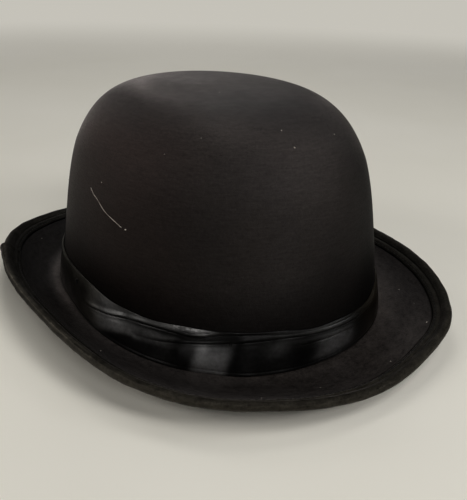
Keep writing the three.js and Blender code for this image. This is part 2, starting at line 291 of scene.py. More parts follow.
def loft(name, stations, closed_path=True, sharp=38):
    """Skin over (stations, profile, 3) closed profiles. A closed path joins the last to the
    first, an open one is capped. UVs are in mm along the path and round the profile."""
    count, around_count = stations.shape[:2]
    steps = np.linalg.norm(np.roll(stations, -1, axis=0) - stations, axis=-1).mean(1)
    along = np.concatenate([[0], np.cumsum(steps)])
    steps = np.linalg.norm(np.roll(stations, -1, axis=1) - stations, axis=-1).mean(0)
    across = np.concatenate([[0], np.cumsum(steps)])
    faces = quads(count, around_count, closed_path)[:, [0, 3, 2, 1]].tolist()
    i, j = np.divmod(np.arange(len(faces)), around_count)
    corners_u = along[np.stack([i, i + 1, i + 1, i], -1)]
    corners_v = across[np.stack([j, j, j + 1, j + 1], -1)]
    uvs = np.stack([corners_u, corners_v], -1).reshape(-1, 2)
    if not closed_path:
        ring = list(range(around_count))
        faces.append(ring)
        faces.append([(count - 1) * around_count + k for k in reversed(ring)])
        side = across[:around_count]
        first = np.stack([np.zeros(around_count), side], -1)
        last = np.stack([np.full(around_count, along[count - 1]), side[::-1]], -1)
        uvs = np.concatenate([uvs, first, last])
    piece = mesh_object(name, stations.reshape(-1, 3), faces, uvs, sharp)
    face_out(piece)
    return piece


def slab(face, back):
    """Closed profiles that run over one skin and return along the other."""
    return np.concatenate([face, back[:, ::-1]], 1)


def shell(name, outer, inner, top_out, top_in, project=None):
    """A dome from (rows, columns, 3) skins listed from the foot up, each closed by a point at
    the given height. project is a 3x2 matrix from place to UV."""
    columns = outer.shape[1]
    poles = [[0, 0, top_out]], [[0, 0, top_in]]
    verts = np.concatenate([outer.reshape(-1, 3), poles[0], inner.reshape(-1, 3), poles[1]])
    inner_start = outer.shape[0] * columns + 1

    def skin(start, rows):
        pole = start + rows * columns
        grid = (quads(rows, columns) + start).tolist()
        return grid + fan(pole - columns, columns, pole)

    faces = skin(0, outer.shape[0])
    faces += [face[::-1] for face in skin(inner_start, inner.shape[0])]
    for i in range(columns):
        j = (i + 1) % columns
        faces.append([j, i, inner_start + i, inner_start + j])
    uvs = None if project is None else verts[np.concatenate(faces)] @ np.array(project)
    return mesh_object(name, verts, faces, uvs)


def dome_levels(count):
    """Heights up the crown spaced evenly along its profile."""
    share = 1 - (1 - np.linspace(0, 1, 4001)) ** 6
    radius = (1 - np.clip(share, 0, 1) ** CROWN_POWERS[0]) ** (1 / CROWN_POWERS[1]) * 95.0
    z = share * CROWN_H
    length = np.concatenate([[0], np.cumsum(np.hypot(np.diff(radius), np.diff(z)))])
    high = np.interp(np.linspace(0, length[-1], count + 1)[:-1], length, z)
    high[0] = 0.3
    high = np.minimum(high, CROWN_H * 0.99995)
    # leave out rows that would lie on one another
    return high[np.concatenate([[True], np.diff(high) > 1e-9])]


def tube(centres, normals, radius, sides=6):
    """Vertices and faces of a round thread through the centres."""
    count = len(centres)
    along = unit(np.gradient(centres, axis=0))
    normals = unit(normals - along * (normals * along).sum(-1, keepdims=True))
    side = unit(np.cross(along, normals))
    angle = (np.arange(sides) * TAU / sides)[None, :, None]
    radius = np.broadcast_to(np.asarray(radius, float), (count,))[:, None, None]
    ring = np.cos(angle) * normals[:, None] + np.sin(angle) * side[:, None]
    verts = (centres[:, None] + radius * ring).reshape(-1, 3)
    faces = quads(count, sides).tolist()
    faces.append(list(range(sides))[::-1])
    faces.append([(count - 1) * sides + j for j in range(sides)])
    return verts, faces


def joined(name, parts, sharp):
    """One object from several (vertices, faces)."""
    faces, base = [], 0
    for verts, part in parts:
        faces += [[i + base for i in face] for face in part]
        base += len(verts)
    piece = mesh_object(name, np.concatenate([part[0] for part in parts]), faces, sharp=sharp)
    face_out(piece)
    return piece


def stitch_row(name, points, normals, length, pitch, radius, jitter, seed):
    """A row of separate stitches along a closed line of points."""
    steps = np.linalg.norm(np.diff(points, axis=0), axis=-1)
    run = np.concatenate([[0], np.cumsum(steps)])

    def along(values, x):
        return np.stack([np.interp(x, run, values[:, k]) for k in range(3)], -1)

    rng = np.random.default_rng(seed)
    count = int(round(run[-1] / pitch))
    t = np.linspace(0, 1, 7)
    arch = np.sin(np.pi * t)
    lift = radius * 0.9 * arch**0.6 - radius * 0.75 * (1 - arch**0.5)
    thick = radius * (0.45 + 0.55 * np.sin(np.pi * np.clip(t, 0.04, 0.96)) ** 0.5)
    parts = []
    for k in range(count):
        start = k * (run[-1] / count) + rng.uniform(-1, 1) * jitter
        x = np.mod(start + t * length * (1 + rng.uniform(-0.06, 0.06)), run[-1])
        normal = unit(along(normals, x))
        parts.append(tube(along(points, x) + normal * lift[:, None], normal, thick))
    finish(joined(name, parts, sharp=60), "thread", name)


def finish(piece, look, node=None):
    """Dress a piece, attach it to the root body and hide the node it replaces."""
    piece.data.materials.append(LOOKS[look])
    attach(piece, "root")
    if node:
        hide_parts(node)


# ---------------------------------------------------------------- material building
def operator(name, swapped=False):
    def operate(self, other):
        pair = (other, self) if swapped else (self, other)
        return self.look.math(name, *pair)

    return operate


class Value:
    """A node's output; arithmetic on it adds Math nodes."""

    def __init__(self, look, socket):
        self.look, self.socket = look, socket

    __add__, __radd__ = operator("ADD"), operator("ADD", True)
    __sub__, __rsub__ = operator("SUBTRACT"), operator("SUBTRACT", True)
    __mul__ = operator("MULTIPLY")

    def times_plus(self, factor, addend):
        return self.look.math("MULTIPLY_ADD", self, factor, addend)


class Look:
    """A material with a principled surface. In node calls the plain values fill the inputs in
    order, the named ones fill inputs by name."""

    def __init__(self, name):
        self.material = bpy.data.materials.new(name)
        self.material.use_nodes = True
        self.tree = self.material.node_tree
        self.tree.nodes.clear()
        self.out = self.make("OutputMaterial")
        self.surface = self.make("BsdfPrincipled")
        self.put(self.out.inputs[0], self.surface.outputs[0])

    def put(self, socket, value):
        if isinstance(value, Value):
            value = value.socket
        if isinstance(value, bpy.types.NodeSocket):
            self.tree.links.new(value, socket)
        elif isinstance(value, tuple) and len(value) == 3 and len(socket.default_value) == 4:
            socket.default_value = (*value, 1)
        else:
            socket.default_value = value

    def make(self, kind, *values, settings=None, **named):
        node = self.tree.nodes.new("ShaderNode" + kind)
        for key, value in (settings or {}).items():
            setattr(node, key, value)
        for k, value in enumerate(values):
            self.put(node.inputs[k], value)
        for key, value in named.items():
            self.put(node.inputs[key.replace("_", " ")], value)
        return node

    def node(self, kind, *values, output=0, settings=None, **named):
        made = self.make(kind, *values, settings=settings, **named)
        return Value(self, made.outputs[output])

    def shader(self, **inputs):
        for key, value in inputs.items():
            self.put(self.surface.inputs[key.replace("_", " ")], value)
        return self.material

    def math(self, operation, *values, clamp=False):
        settings = {"operation": operation, "use_clamp": clamp}
        return self.node("Math", *values, settings=settings)

    def mix(self, factor, first, second, mode="MIX"):
        settings = {"data_type": "RGBA", "blend_type": mode}
        node = self.make("Mix", settings=settings, Factor=factor)
        self.put(node.inputs[6], first)
        self.put(node.inputs[7], second)
        return Value(self, node.outputs[2])

    def shaded(self, color, tone):
        grey = self.node("CombineColor", Red=tone, Green=tone, Blue=tone)
        return self.mix(1.0, color, grey, "MULTIPLY")

    def scaled(self, vector, scale):
        return self.node("Mapping", vector, Scale=scale)

    def object_place(self, scale=1000):
        """Place on the object, in mm unless scaled otherwise."""
        return self.scaled(self.node("TexCoord", output="Object"), (scale,) * 3)

    def cloth_uv(self):
        return self.scaled(self.node("UVMap", settings={"uv_map": "cloth"}), (1, 1, 1))

    def noise(self, vector, scale, detail=3, rough=0.6, distortion=0.0):
        return self.node("TexNoise", Vector=vector, Scale=scale, Detail=detail,
                         Roughness=rough, Distortion=distortion)

    def ramp(self, value, span, to=(0.0, 1.0)):
        settings = {"interpolation_type": "SMOOTHSTEP"}
        return self.node("MapRange", value, *span, *to, settings=settings)

    def attribute(self, name):
        return self.node("Attribute", output=2, settings={"attribute_name": name})

    def bumped(self, height, strength, mm):
        return self.node("Bump", Strength=strength, Distance=mm / 1000, Height=height)

    def ridges(self, coordinate, pitch):
        return self.math("SINE", coordinate * (2 * math.pi / pitch))

    def dots(self, vector, scale, channel, radius, chosen):
        """Round dots in some of the cells; chosen is the ramp that picks the cells."""
        cells = self.make("TexVoronoi", settings={"feature": "F1"}, Vector=vector,
                          Scale=scale, Randomness=1.0)
        pick = self.node("SeparateColor", cells.outputs["Color"], output=channel)
        dot = self.ramp(cells.outputs["Distance"], radius, (1.0, 0.0))
        return dot * self.ramp(pick, *chosen)


def tinted(color, factors):
    return tuple(c * f for c, f in zip(color, factors))


# ---------------------------------------------------------------- materials
def brushed_cloth(name, color, specks, tint, seed=0.0, sheen=0.08, rough=0.66, gloss=0.15,
                  mottle=0.2, grainy=0.6, worn=None, top=None):
    """Finely napped cloth: fibre grain, soft mottling and a little lint. One attribute lightens
    (above 1) or darkens the nap: partly the lay of the nap, mostly painted light and shade.
    "crease" is painted shade in a groove, a third attribute paints warm light, "wear" rubs. worn
    is (amount, colour) of the rubbing; top paints the crown's top lighter, glossier and with more
    sheen as painted light from above, and paints shade just above the ribbon."""
    look = Look(name)
    place = look.object_place()
    shift = (seed, seed * 1.7, seed * 0.6)
    moved = look.node("VectorMath", place, shift, settings={"operation": "ADD"})
    fibre = look.noise(moved, scale=2.6, detail=4, rough=0.62)
    felt = look.noise(moved, scale=0.75)
    blotch = look.noise(moved, scale=0.055, rough=0.55)
    cloud = look.noise(moved, scale=0.016, detail=2, rough=0.5)
    shade = (fibre - 0.5) * 0.55 + 1.0
    shade = shade + (felt - 0.5) * 0.35
    shade = shade + (blotch - 0.5) * (mottle * 2)
    base = look.shaded(color, shade)
    warmth = look.ramp(cloud, (0.35, 0.65)) * 0.35
    base = look.mix(warmth, base, tinted(color, (1.18, 1.0, 0.84)))
    if worn:
        patchy = look.ramp(look.noise(moved, scale=0.35), (0.35, 0.7))
        rub = look.attribute("wear") * patchy
        base = look.mix(rub * worn[0], base, worn[1])
    lint = look.dots(moved, scale=0.075, channel=0, radius=(0.018, 0.034),
                     chosen=((0.55, 0.6),))
    dust = look.dots(moved, scale=0.22, channel=1, radius=(0.02, 0.05),
                     chosen=((0.72, 0.76), (0.0, 0.5)))
    base = look.mix(look.math("MAXIMUM", lint, dust) * specks, base, (0.11, 0.10, 0.09))
    normal = look.bumped(fibre * 0.6 + felt * 0.8, strength=0.6, mm=0.2)
    # openness of the nap: level courses and grain, times painted light and shade, with painted
    # shade in creases
    course = look.noise(look.scaled(moved, (0.16, 0.16, 1.25)), scale=1.0)
    grain = (felt - 0.5).times_plus(1.5 * grainy, 1.0) + (course - 0.5) * (1.3 * grainy)
    grain = grain * (fibre - 0.5).times_plus(1.2 * grainy, 1.0)
    grain_and_painted_light = (1.0 - look.attribute("crease") * 0.85) * (grain * look.attribute("lay"))
    base = look.shaded(base, grain_and_painted_light)
    # painted warm light: warms the colour where the attribute says
    painted_warm_base = look.mix(1.0, base, (1.1, 0.66, 0.56), "MULTIPLY")
    base = look.mix(look.attribute("painted_warm_light") * 1.0, base, painted_warm_base)
    nap = look.ramp(blotch, (0.3, 0.7), (sheen * 0.85, sheen * 1.15))
    gloss_with_painted_light = grain_and_painted_light * gloss
    if top:
        # painted light: the crown's top lighter, glossier and with more sheen, as light from above
        # falls on it
        height = look.node("SeparateXYZ", place, output=2)
        painted_top_light = look.ramp(height + (cloud - 0.5) * 30.0, top["span"])
        nap = nap + painted_top_light * top["sheen"]
        gloss_with_painted_light = gloss_with_painted_light * painted_top_light.times_plus(top["gloss"], 1.0)
        base = look.shaded(base, painted_top_light.times_plus(top["lighter"], 1.0))
        foot = look.ramp(height, (24.0, 58.0), (0.42, 1.0))  # painted shade above the ribbon, where the brim and band shade the crown
        nap = nap * foot
        gloss_with_painted_light = gloss_with_painted_light * foot
        base = look.shaded(base, foot)
    return look.shader(
        Base_Color=base,
        Roughness=look.ramp(felt, (0.3, 0.7), (rough - 0.05, rough + 0.05)),
        Specular_IOR_Level=gloss_with_painted_light,
        Sheen_Weight=nap * grain_and_painted_light,
        Sheen_Roughness=0.27,
        Sheen_Tint=(1.0, 0.91, 0.885),
        Specular_Tint=tint,
        Normal=normal,
    )


def satin(name, color, rough=0.34, aniso=0.75, gloss=0.8, sheen=0.02, with_painted_light=False):
    """Satin with fine warp lines and slight slubs. With painted light, one attribute scales how
    much the floats gleam with painted highlights and another browns them as a painted warm
    reflection."""
    look = Look(name)
    cloth = look.cloth_uv()
    threads = look.noise(look.scaled(cloth, (0.35, 5.0, 1)), scale=1.0)
    slub = look.noise(cloth, scale=0.5)
    wide = look.noise(cloth, scale=0.08, detail=2, rough=0.5)
    base = look.shaded(color, 0.75 + threads * 0.5)
    uneven = look.ramp(wide, (0.3, 0.7), (rough - 0.04, rough + 0.05))
    radial = {"direction_type": "RADIAL", "axis": "Z"}
    inputs = dict(
        Base_Color=base,
        Roughness=uneven + (slub - 0.5) * 0.12,
        Specular_IOR_Level=gloss,
        Anisotropic=aniso,
        Anisotropic_Rotation=0.25,
        Tangent=look.node("Tangent", settings=radial),
        Sheen_Weight=sheen,
        Sheen_Roughness=0.3,
        Normal=look.bumped(threads * 0.7 + slub * 0.6, strength=0.25, mm=0.05),
    )
    if with_painted_light:
        patchy = look.ramp(slub, (0.25, 0.75), (gloss * 0.8, gloss * 1.15))
        # painted warm reflection: browns the gloss and the colour at the ribbon's ends
        tan = look.attribute("tan")
        inputs.update(
            Specular_IOR_Level=look.math(
                "MULTIPLY", look.attribute("gloss_with_painted_light"), patchy, clamp=True),
            IOR=2.6,
            Specular_Tint=look.mix(tan, (1.0, 0.985, 0.975), (1.0, 0.76, 0.36)),
            Base_Color=look.mix(tan, base, tinted(color, (1.5, 1.0, 0.4))),
        )
    return look.shader(**inputs)


def ribbed_tape(name, color, rib=0.9, rough=0.75):
    """Tape with ribs across its length."""
    look = Look(name)
    cloth = look.cloth_uv()
    ribs = look.ridges(look.node("SeparateXYZ", cloth), rib).times_plus(0.5, 0.5)
    fine = look.noise(cloth, scale=3.0)
    dirt = look.noise(cloth, scale=0.06)
    return look.shader(
        Base_Color=look.shaded(color, (0.7 + ribs * 0.4) + (dirt - 0.5) * 0.4),
        Roughness=look.ramp(fine, (0.3, 0.7), (rough - 0.05, rough + 0.1)),
        Specular_IOR_Level=0.3,
        Sheen_Weight=0.25,
        Sheen_Roughness=0.4,
        Normal=look.bumped(ribs * 1.0 + fine * 0.4, strength=0.6, mm=0.16),
    )


def plain_weave(name, color, pitch, contrast, rough=0.85):
    """Over-and-under weave from two crossed thread waves."""
    look = Look(name)
    cloth = look.cloth_uv()
    split = look.make("SeparateXYZ", cloth)
    along, across = (look.ridges(Value(look, split.outputs[k]), pitch) for k in (0, 1))
    cross = (along * across).times_plus(0.5, 0.5)
    fuzz = look.noise(cloth, scale=2.2)
    tone = ((1 - contrast / 2) + cross * contrast) + (fuzz - 0.5) * 0.35
    return look.shader(
        Base_Color=look.shaded(color, tone),
        Roughness=look.ramp(fuzz, (0.3, 0.7), (rough - 0.05, rough + 0.08)),
        Specular_IOR_Level=0.25,
        Sheen_Weight=0.15,
        Normal=look.bumped(cross * 0.8 + fuzz * 0.5, strength=0.5, mm=0.12),
    )


def twisted_thread(name, color, rough=0.5, gloss=0.35):
    look = Look(name)
    twist = look.noise(look.object_place(), scale=6.0, detail=2, rough=0.5, distortion=1.5)
    return look.shader(
        Base_Color=look.shaded(color, 0.7 + twist * 0.6),
        Roughness=look.ramp(twist, (0.3, 0.7), (rough - 0.08, rough + 0.1)),
        Specular_IOR_Level=gloss,
        Sheen_Weight=gloss * 0.3,
        Normal=look.bumped(twist, strength=0.4, mm=0.06),
    )


LOOKS = {
    "crown_cloth": brushed_cloth(
        "crown_cloth", (0.0054, 0.0049, 0.0047), specks=0.35, tint=(1.0, 0.87, 0.835),
        # its top carries painted light from above
        top={"span": (62.0, 122.0), "sheen": 0.14, "gloss": 0.8, "lighter": 0.7}),
    "brim_cloth": brushed_cloth(
        "brim_cloth", (0.0056, 0.0049, 0.0045), specks=0.4, tint=(1.0, 0.86, 0.815),
        seed=37.0, grainy=1.1),
    "binding_cloth": brushed_cloth(
        "binding_cloth", (0.0068, 0.0062, 0.0046), specks=0.2, tint=(1.0, 0.895, 0.755),
        seed=71.0, sheen=0.1, rough=0.7, gloss=0.18, mottle=0.25, grainy=1.2,
        worn=(0.5, (0.02, 0.018, 0.013))),
    "band_satin": satin("band_satin", (0.0014, 0.0013, 0.0012), gloss=0.205, sheen=0.008,
                        with_painted_light=True),
    "bow_satin": satin("bow_satin", (0.0026, 0.0025, 0.0024)),
    "lining_satin": satin("lining_satin", (0.010, 0.010, 0.0115), rough=0.45, aniso=0.5,
                          gloss=0.5),
    "cotton_tape": ribbed_tape("cotton_tape", (0.018, 0.0172, 0.0165)),
    "moulded_core": plain_weave("moulded_core", (0.05, 0.047, 0.042), pitch=1.1, contrast=0.5),
    "edge_cord": twisted_thread("edge_cord", (0.08, 0.078, 0.07)),
    "thread": twisted_thread("thread", (0.0045, 0.0043, 0.0042), rough=0.6, gloss=0.12),
    "label_cloth": plain_weave("label_cloth", (0.3, 0.29, 0.27), pitch=0.45, contrast=0.25),
    "lint": twisted_thread("lint", (0.42, 0.38, 0.33), rough=0.8),
}

# ---------------------------------------------------------------- crown
CROWN_TURN = turns(288)

# painted light (+) and painted shade (-) on the nap: amount, degrees, width, height, size[, power]
CROWN_PAINTED_LIGHT = [
    (0.46, -188, 22, 100, 12), (0.32, -118, 13, 109, 6), (0.28, -72, 22, 103, 10),
    (0.16, -152, 20, 90, 28), (-0.1, -98, 18, 98, 7), (-0.2, -185, 24, 47, 15),
    (-0.25, -85, 8, 45, 13), (0.2, -128, 13, 111, 5),
]
# painted light and shade that come in towards the top: amount, degrees, width, start, span[,
# power]
CROWN_TOP_PAINTED_LIGHT = [(0.55, -208, 46, 109, 5.5), (0.3, -225, 34, 112, 4), (-0.2, -85, 34, 112, 4),
             (0.5, -190, 52, 114, 3, 4)]
# painted light and shade on the top seen in plan: amount, x, width, y, width
TIP_PAINTED_LIGHT = [(0.62, -8, 28, 32, 22), (0.2, -5, 40, 8, 14), (-0.6, -50, 13, 18, 30),
             (-0.2, -27, 8, 8, 16), (-0.2, -2, 15, -30, 9)]


def crown_wobble(turn, high):
    """The hand-steamed surface: low swells of about a tenth of a mm, none at the foot."""
    swell = 0.10 * np.cos(3 * turn + 0.7 + high / 40) + 0.07 * np.cos(5 * turn - 1.9 - high / 26)
    swell = swell + 0.05 * np.cos(8 * turn + high / 15)
    return fade(high, 0, 30) * swell * fade(high, CROWN_H, -12)


def crown_nap_and_painted_light(turn, high):
    """Broad lighter and darker areas: partly the direction the nap was last brushed in, mostly
    painted light and shade.
    """
    deg = near_degrees(turn)
    # painted shade low on the left and along the right side, a painted highlight slanting up the
    # front
    lay = -0.62 * bump(deg, -168, 22) * bump(np.clip(high, 24, None), 24, 17)
    lay = lay - 0.75 * bump(deg, -66, 13) * bump(np.clip(high, 30, None), 30, 20)
    slant = -111 + (np.clip(high, 25, 90) - 25) * 0.27
    lay = lay + 0.42 * bump(deg, slant, 18) * bump(high, 57, 46, 4)
    lay = lay - 0.95 * bump(deg, -58, 13) * bump(high, 58, 38, 4)
    lay = lay + 0.04 * fade(high, 60, 40) + patches(deg, high, CROWN_PAINTED_LIGHT)
    lay = lay + patches(deg, high, CROWN_TOP_PAINTED_LIGHT, fade) * fade(high, CROWN_H, -1.2)
    x, y = np.moveaxis(on_crown(turn, high, 0.0)[..., :2], -1, 0)
    return np.exp(lay + patches(x, y, TIP_PAINTED_LIGHT) * fade(high, 108, 5))


def crown_cover():
    turn, levels = CROWN_TURN[None, :], dome_levels(120)
    high = levels[:, None]
    outer = on_crown(turn, high, crown_wobble(turn, high))
    outer[0] = on_crown(CROWN_TURN, levels[0], -0.12)
    inner = on_crown(turn, dome_levels(60)[:, None], -COVER_T)
    piece = shell("crown_cover", outer, inner, TOP, TOP - COVER_T)
    deg = near_degrees(turn)
    # painted warm light on the crown's left, none towards the front right
    painted_warm_light = 1.05 * bump(deg, -178, 44, 4) - 0.35 * bump(deg, -92, 20)
    painted_warm_light = np.clip(painted_warm_light, -0.4, 1.0) * np.clip((118 - high) / 20, 0.35, 1)
    hidden = np.ones(inner[..., 0].size + 1)
    paint(piece, "lay", np.concatenate([crown_nap_and_painted_light(turn, high).ravel(), [1.3], hidden]))
    paint(piece, "painted_warm_light", np.concatenate([painted_warm_light.ravel(), [0.3], 0 * hidden]))
    finish(piece, "crown_cloth", "crown_cover")


def crown_core():
    turn, high = CROWN_TURN[None, ::2], dome_levels(48)[:, None]
    face, back = COVER_T + GAP, COVER_T + GAP + CORE_T
    piece = shell("crown_core", on_crown(turn, high, -face), on_crown(turn, high, -back),
                  TOP - face, TOP - back, project=[[1, 0], [0.2, 1], [0, 1]])
    finish(piece, "moulded_core", "crown_core")


# ---------------------------------------------------------------- satin band
# All band tables are knots of (degrees, value). Heights of the ribbon's two edges:
TOP_EDGE = [
    (0, 20.6), (30, 20.8), (90, 20.8), (150, 21.1), (168, 21.2), (-171, 21.2), (-167, 20.8),
    (-163, 20.0), (-157, 19.1), (-151, 19.2), (-146, 19.1), (-141, 19.3), (-136, 19.8),
    (-131, 20.7), (-124, 21.0), (-117, 21.2), (-105, 21.1), (-101, 20.8), (-96.5, 19.5),
    (-91, 18.6), (-84.5, 18.7), (-77, 18.3), (-68, 17.4), (-60, 18.8), (-40, 20.2), (-20, 20.6),
]
LOW_EDGE = [(-185, 0.6), (-172, 0.42), (-130, 0.4), (-100, 0.65), (-60, 0.75), (60, 0.75)]
# how far the ribbon stands off the crown near its top, at the middle and at the hem
UPPER = [(-165, 0.75), (-140, 0.6), (-122, 0.55), (-100, 0.6), (-80, 0.8), (-60, 0.5), (0, 0.6),
         (60, 0.6), (120, 0.7)]
MIDDLE = [
    (-172, 1.7), (-163, 1.25), (-156, 1.2), (-148, 1.6), (-141, 1.9), (-133, 2.2), (-127, 1.5),
    (-122.5, 1.2), (-118, 1.5), (-112.5, 2.3), (-106, 1.5), (-102, 1.7), (-97, 2.4), (-92, 1.9),
    (-86, 1.1), (-81, 1.3), (-76, 2.1), (-66, 2.0), (-40, 1.2), (0, 1.2), (40, 1.4), (75, 1.1),
    (110, 1.4), (150, 1.1),
]
LOWER = [
    (-185, 2.0), (-174, 2.8), (-165, 3.6), (-152, 4.2), (-141, 4.7), (-132, 4.4), (-126, 3.8),
    (-121, 3.5), (-116, 4.1), (-111, 4.2), (-106, 3.4), (-100, 3.2), (-92, 2.7), (-80, 2.4),
    (-60, 1.9), (0, 1.6), (60, 1.8), (120, 1.6),
]
HEM_LINE = [(-172, 0.75), (-130, 0.75), (-100, 1.05), (-60, 1.15), (60, 1.15)]
# each tuck: height of its crease, then how strongly it is folded
TUCKS = [
    ([(-178, 8.5), (-168, 9.2), (-161, 10.6), (-155, 12.8), (-150, 14.9), (-146, 15.8),
      (-141, 16.4), (-136, 16.9), (-131, 17.0), (-126, 16.4), (-122.5, 18.6), (-120.5, 19.6),
      (-114, 20.0), (-104, 20.2), (0, 16), (90, 16), (150, 12)],
     [(-178, 0), (-168, 0.25), (-161, 0.6), (-152, 0.95), (-121, 1.0), (-116, 0.6), (-108, 0.0),
      (0, 0), (170, 0)]),
    ([(-143, 9.6), (-136, 11.0), (-130, 13.0), (-121, 14.9), (-115, 16.4), (-106, 17.4),
      (-101, 17.4), (-96, 16.6), (-92, 16.2), (-85, 15.2), (-80, 14.8), (-70, 14.2), (-50, 14.0),
      (-20, 14.5), (180, 12)],
     [(-146, 0), (-136, 0.35), (-128, 0.6), (-116, 0.85), (-100, 0.8), (-88, 1.0), (-76, 0.9),
      (-64, 0.55), (-48, 0.4), (-25, 0.8), (-8, 1.0), (8, 0), (180, 0)]),
    ([(8, 14.5), (30, 13.8), (60, 15.6), (95, 15.0), (130, 16.6), (160, 17.8), (178, 19),
      (-90, 15)],
     [(4, 0), (10, 1.0), (60, 0.9), (95, 0.9), (130, 1.0), (158, 0.8), (176, 0.0), (-90, 0)]),
    ([(-125, 20.3), (-110, 20.3), (-98, 18.6), (-90, 17.9), (-80, 17.2), (0, 17), (90, 18)],
     [(-128, 0), (-120, 0.3), (-100, 0.3), (-92, 0.45), (-80, 0.4), (-72, 0), (0, 0), (180, 0)]),
    ([(-97, 12.6), (-88, 11.9), (-79, 11.3), (-70, 11), (90, 12)],
     [(-99, 0), (-92, 0.45), (-84, 0.5), (-76, 0.25), (-70, 0), (90, 0)]),
]
# pits where the ribbon is drawn in: degrees, height, depth
PULLS = [(-144.8, 8.8, 0.34), (-117.0, TACK_HIGH, 0.34), (180.0, TACK_HIGH, 0.16),
         (90.0, TACK_HIGH, 0.34)]


def band_surface(turn, share):
    """Height and stand-off of the ribbon's face; share is 0 at the top edge, 1 at the hem."""
    top = around(turn, TOP_EDGE, 1.8)
    high = top - share * (top - around(turn, LOW_EDGE, 4))
    down = (top - high) / top
    belly = np.sin(np.pi * down)
    out = around(turn, UPPER, 5) * (1 - down) ** 2 + around(turn, LOWER, 2.2) * down**2
    out = out + around(turn, MIDDLE, 1.8) * 3 * down * (1 - down) + 0.12 * belly
    drop = np.zeros_like(high)
    for heights, strength in TUCKS:
        y = high - around(turn, heights, 2.2)
        fold = np.clip(around(turn, strength, 2.0), 0, 1)
        out = out + fold * 0.62 * bump(y, 1.1, 1.3) * fade(y, -0.6, 0.6)  # lip
        out = out - fold * (0.5 * bump(y, 0, 0.45) + 0.22 * bump(y, -1.2, 1.4))  # crease
        drop = drop - fold * 0.62 * bump(y, 0.5, 0.42)
    for place, level, pit in PULLS:
        sideways = np.abs(wrap(np.degrees(turn) - place)) * 1.65
        out = out - pit * np.exp(-((sideways / 2.6) ** 2 + ((high - level) / 1.5) ** 2))
    deg = wrap(np.degrees(turn))
    # drag lines at the front and beside the bow, then soft ripples
    drag = 0.05 * bump(deg, -88, 13) * np.cos(TAU * (high / 5.2 + (deg + 88) / 33.0) + 0.6)
    flank = np.abs(deg)
    drag = drag + 0.10 * bump(flank, 17, 9) * np.cos(TAU * (high / 4.2 + flank / 60.0))
    ripple = waves(turn, [(0.05, 17, 0.3), (0.05, 26, 1.9), (0.035, 41, 0.4)])
    out = out + belly * (drag + ripple + 0.05 * np.cos(23 * turn + high * 0.5))
    # fine gathers across the strip above the first tuck
    gathers = np.cos(turn * 236 + 1.3 * np.sin(turn * 57))
    out = out + 0.045 * bump(deg, -134, 11) * gathers * fade(high, 15.0, 2.5)
    # rolled hem: a bead along the lower edge with a faint crease above it
    hem = high - around(turn, HEM_LINE, 4)
    out = out + 0.13 * bump(hem, 0, 0.45) - 0.12 * bump(hem, 1.0, 0.4)
    return high + drop, np.maximum(out, 0.48)


# painted highlights on the satin, 0 dull to about 5: the lower and the upper part of the ribbon
PAINTED_HIGHLIGHT_LOW = [
    (-185, 0.38), (-171, 0.36), (-160, 0.25), (-153, 0.12), (-144, 0.16), (-135, 0.24),
    (-129, 0.22), (-117, 0.2), (-111, 0.09), (-105, 0.16), (-99, 0.06), (-93, 0.08), (-87, 0.2),
    (-76, 0.18), (-69, 0.24), (-63, 0.06), (-50, 0.03), (-38, 0.5), (0, 0.75), (90, 0.75),
    (150, 0.6),
]
PAINTED_HIGHLIGHT_HIGH = [
    (-185, 0.45), (-177, 0.45), (-171, 0.22), (-160, 0.15), (-130, 0.3), (-117, 0.25),
    (-113, 0.08), (-105, 0.2), (-99, 0.11), (-93, 0.15), (-87, 0.3), (-80, 0.12), (-75, 0.2),
    (-69, 0.5), (-57, 0.6), (-40, 0.5), (0, 0.75), (90, 0.75), (150, 0.5),
]
# painted highlights on the strips above the first and the second tuck
PAINTED_HIGHLIGHT_FIRST = [
    (-173, 0), (-171, 0.12), (-165, 0.3), (-159, 0.6), (-153, 0.5), (-147, 0.5), (-141, 0.05),
    (-136, 0.25), (-133, 1.2), (-131, 4.2), (-126, 3.4), (-122.5, 0.5), (-119.5, 0.15),
    (-117, 0.05), (-113, 0), (0, 0),
]
PAINTED_HIGHLIGHT_SECOND = [(-100, 0), (-98, 0.1), (-93, 0.45), (-88, 0.85), (-84, 0.7), (-80, 0.35),
                (-76, 0.1), (-72, 0), (0, 0)]
# a broad painted highlight under the first tuck: height of its lower border, and its strength
PATCH_BORDER = [(-172, 3.4), (-165, 1.6), (-159, 2.6), (-153, 5.8), (-147, 8.4), (-141, 8.4),
                (-131, 9.5), (0, 9)]
PATCH_PAINTED_HIGHLIGHT = [(-176, 0), (-171, 0.5), (-165, 2.3), (-160, 4.9), (-153, 2.6), (-147, 1.6),
               (-141, 1.5), (-136, 0.5), (-131, 0.05), (0, 0)]
# the brightest painted highlight: height, strength
BRIGHTEST_PAINTED = [(0, 3.4), (5, 3.9), (8.5, 2.9), (11.5, 1.6), (14.5, 0.35), (16, 0)]
# painted gleams: amount, degrees, height, width, tallness, power, climb in mm per degree
PAINTED_GLEAMS = [(0.3, -104.8, 11.6, 3.6, 3.4, 2.2, 0.5), (3.7, -84.8, 8.2, 5.9, 4.6, 3.2, 0.05),
          (0.5, -91.0, 4.2, 3.0, 1.4, 2.0, 0.0), (0.45, -87.0, 13.4, 6.0, 0.8, 2.0, -0.14)]
# painted shade, where the satin reflects nothing bright: share lost, degrees, width, height,
# tallness
PAINTED_SHADE_PLACES = [(0.4, -159, 3.5, 14.5, 2.0), (0.45, -81, 3.5, 14.3, 1.5), (0.45, -116.5, 1.6, 4, 4.5),
          (0.45, -135, 5, 14.5, 2.5), (0.5, -111, 4, 18, 4)]
# painted warm reflection at the ribbon's ends: degrees, amount
BAND_PAINTED_WARM_REFLECTION = [
    (-200, 0.5), (-178, 0.45), (-168, 0.3), (-160, 0.0), (-78, 0.0), (-70, 0.55), (-60, 1.0),
    (-50, 0.9), (-38, 0.15), (0, 0.0), (90, 0.0),
]


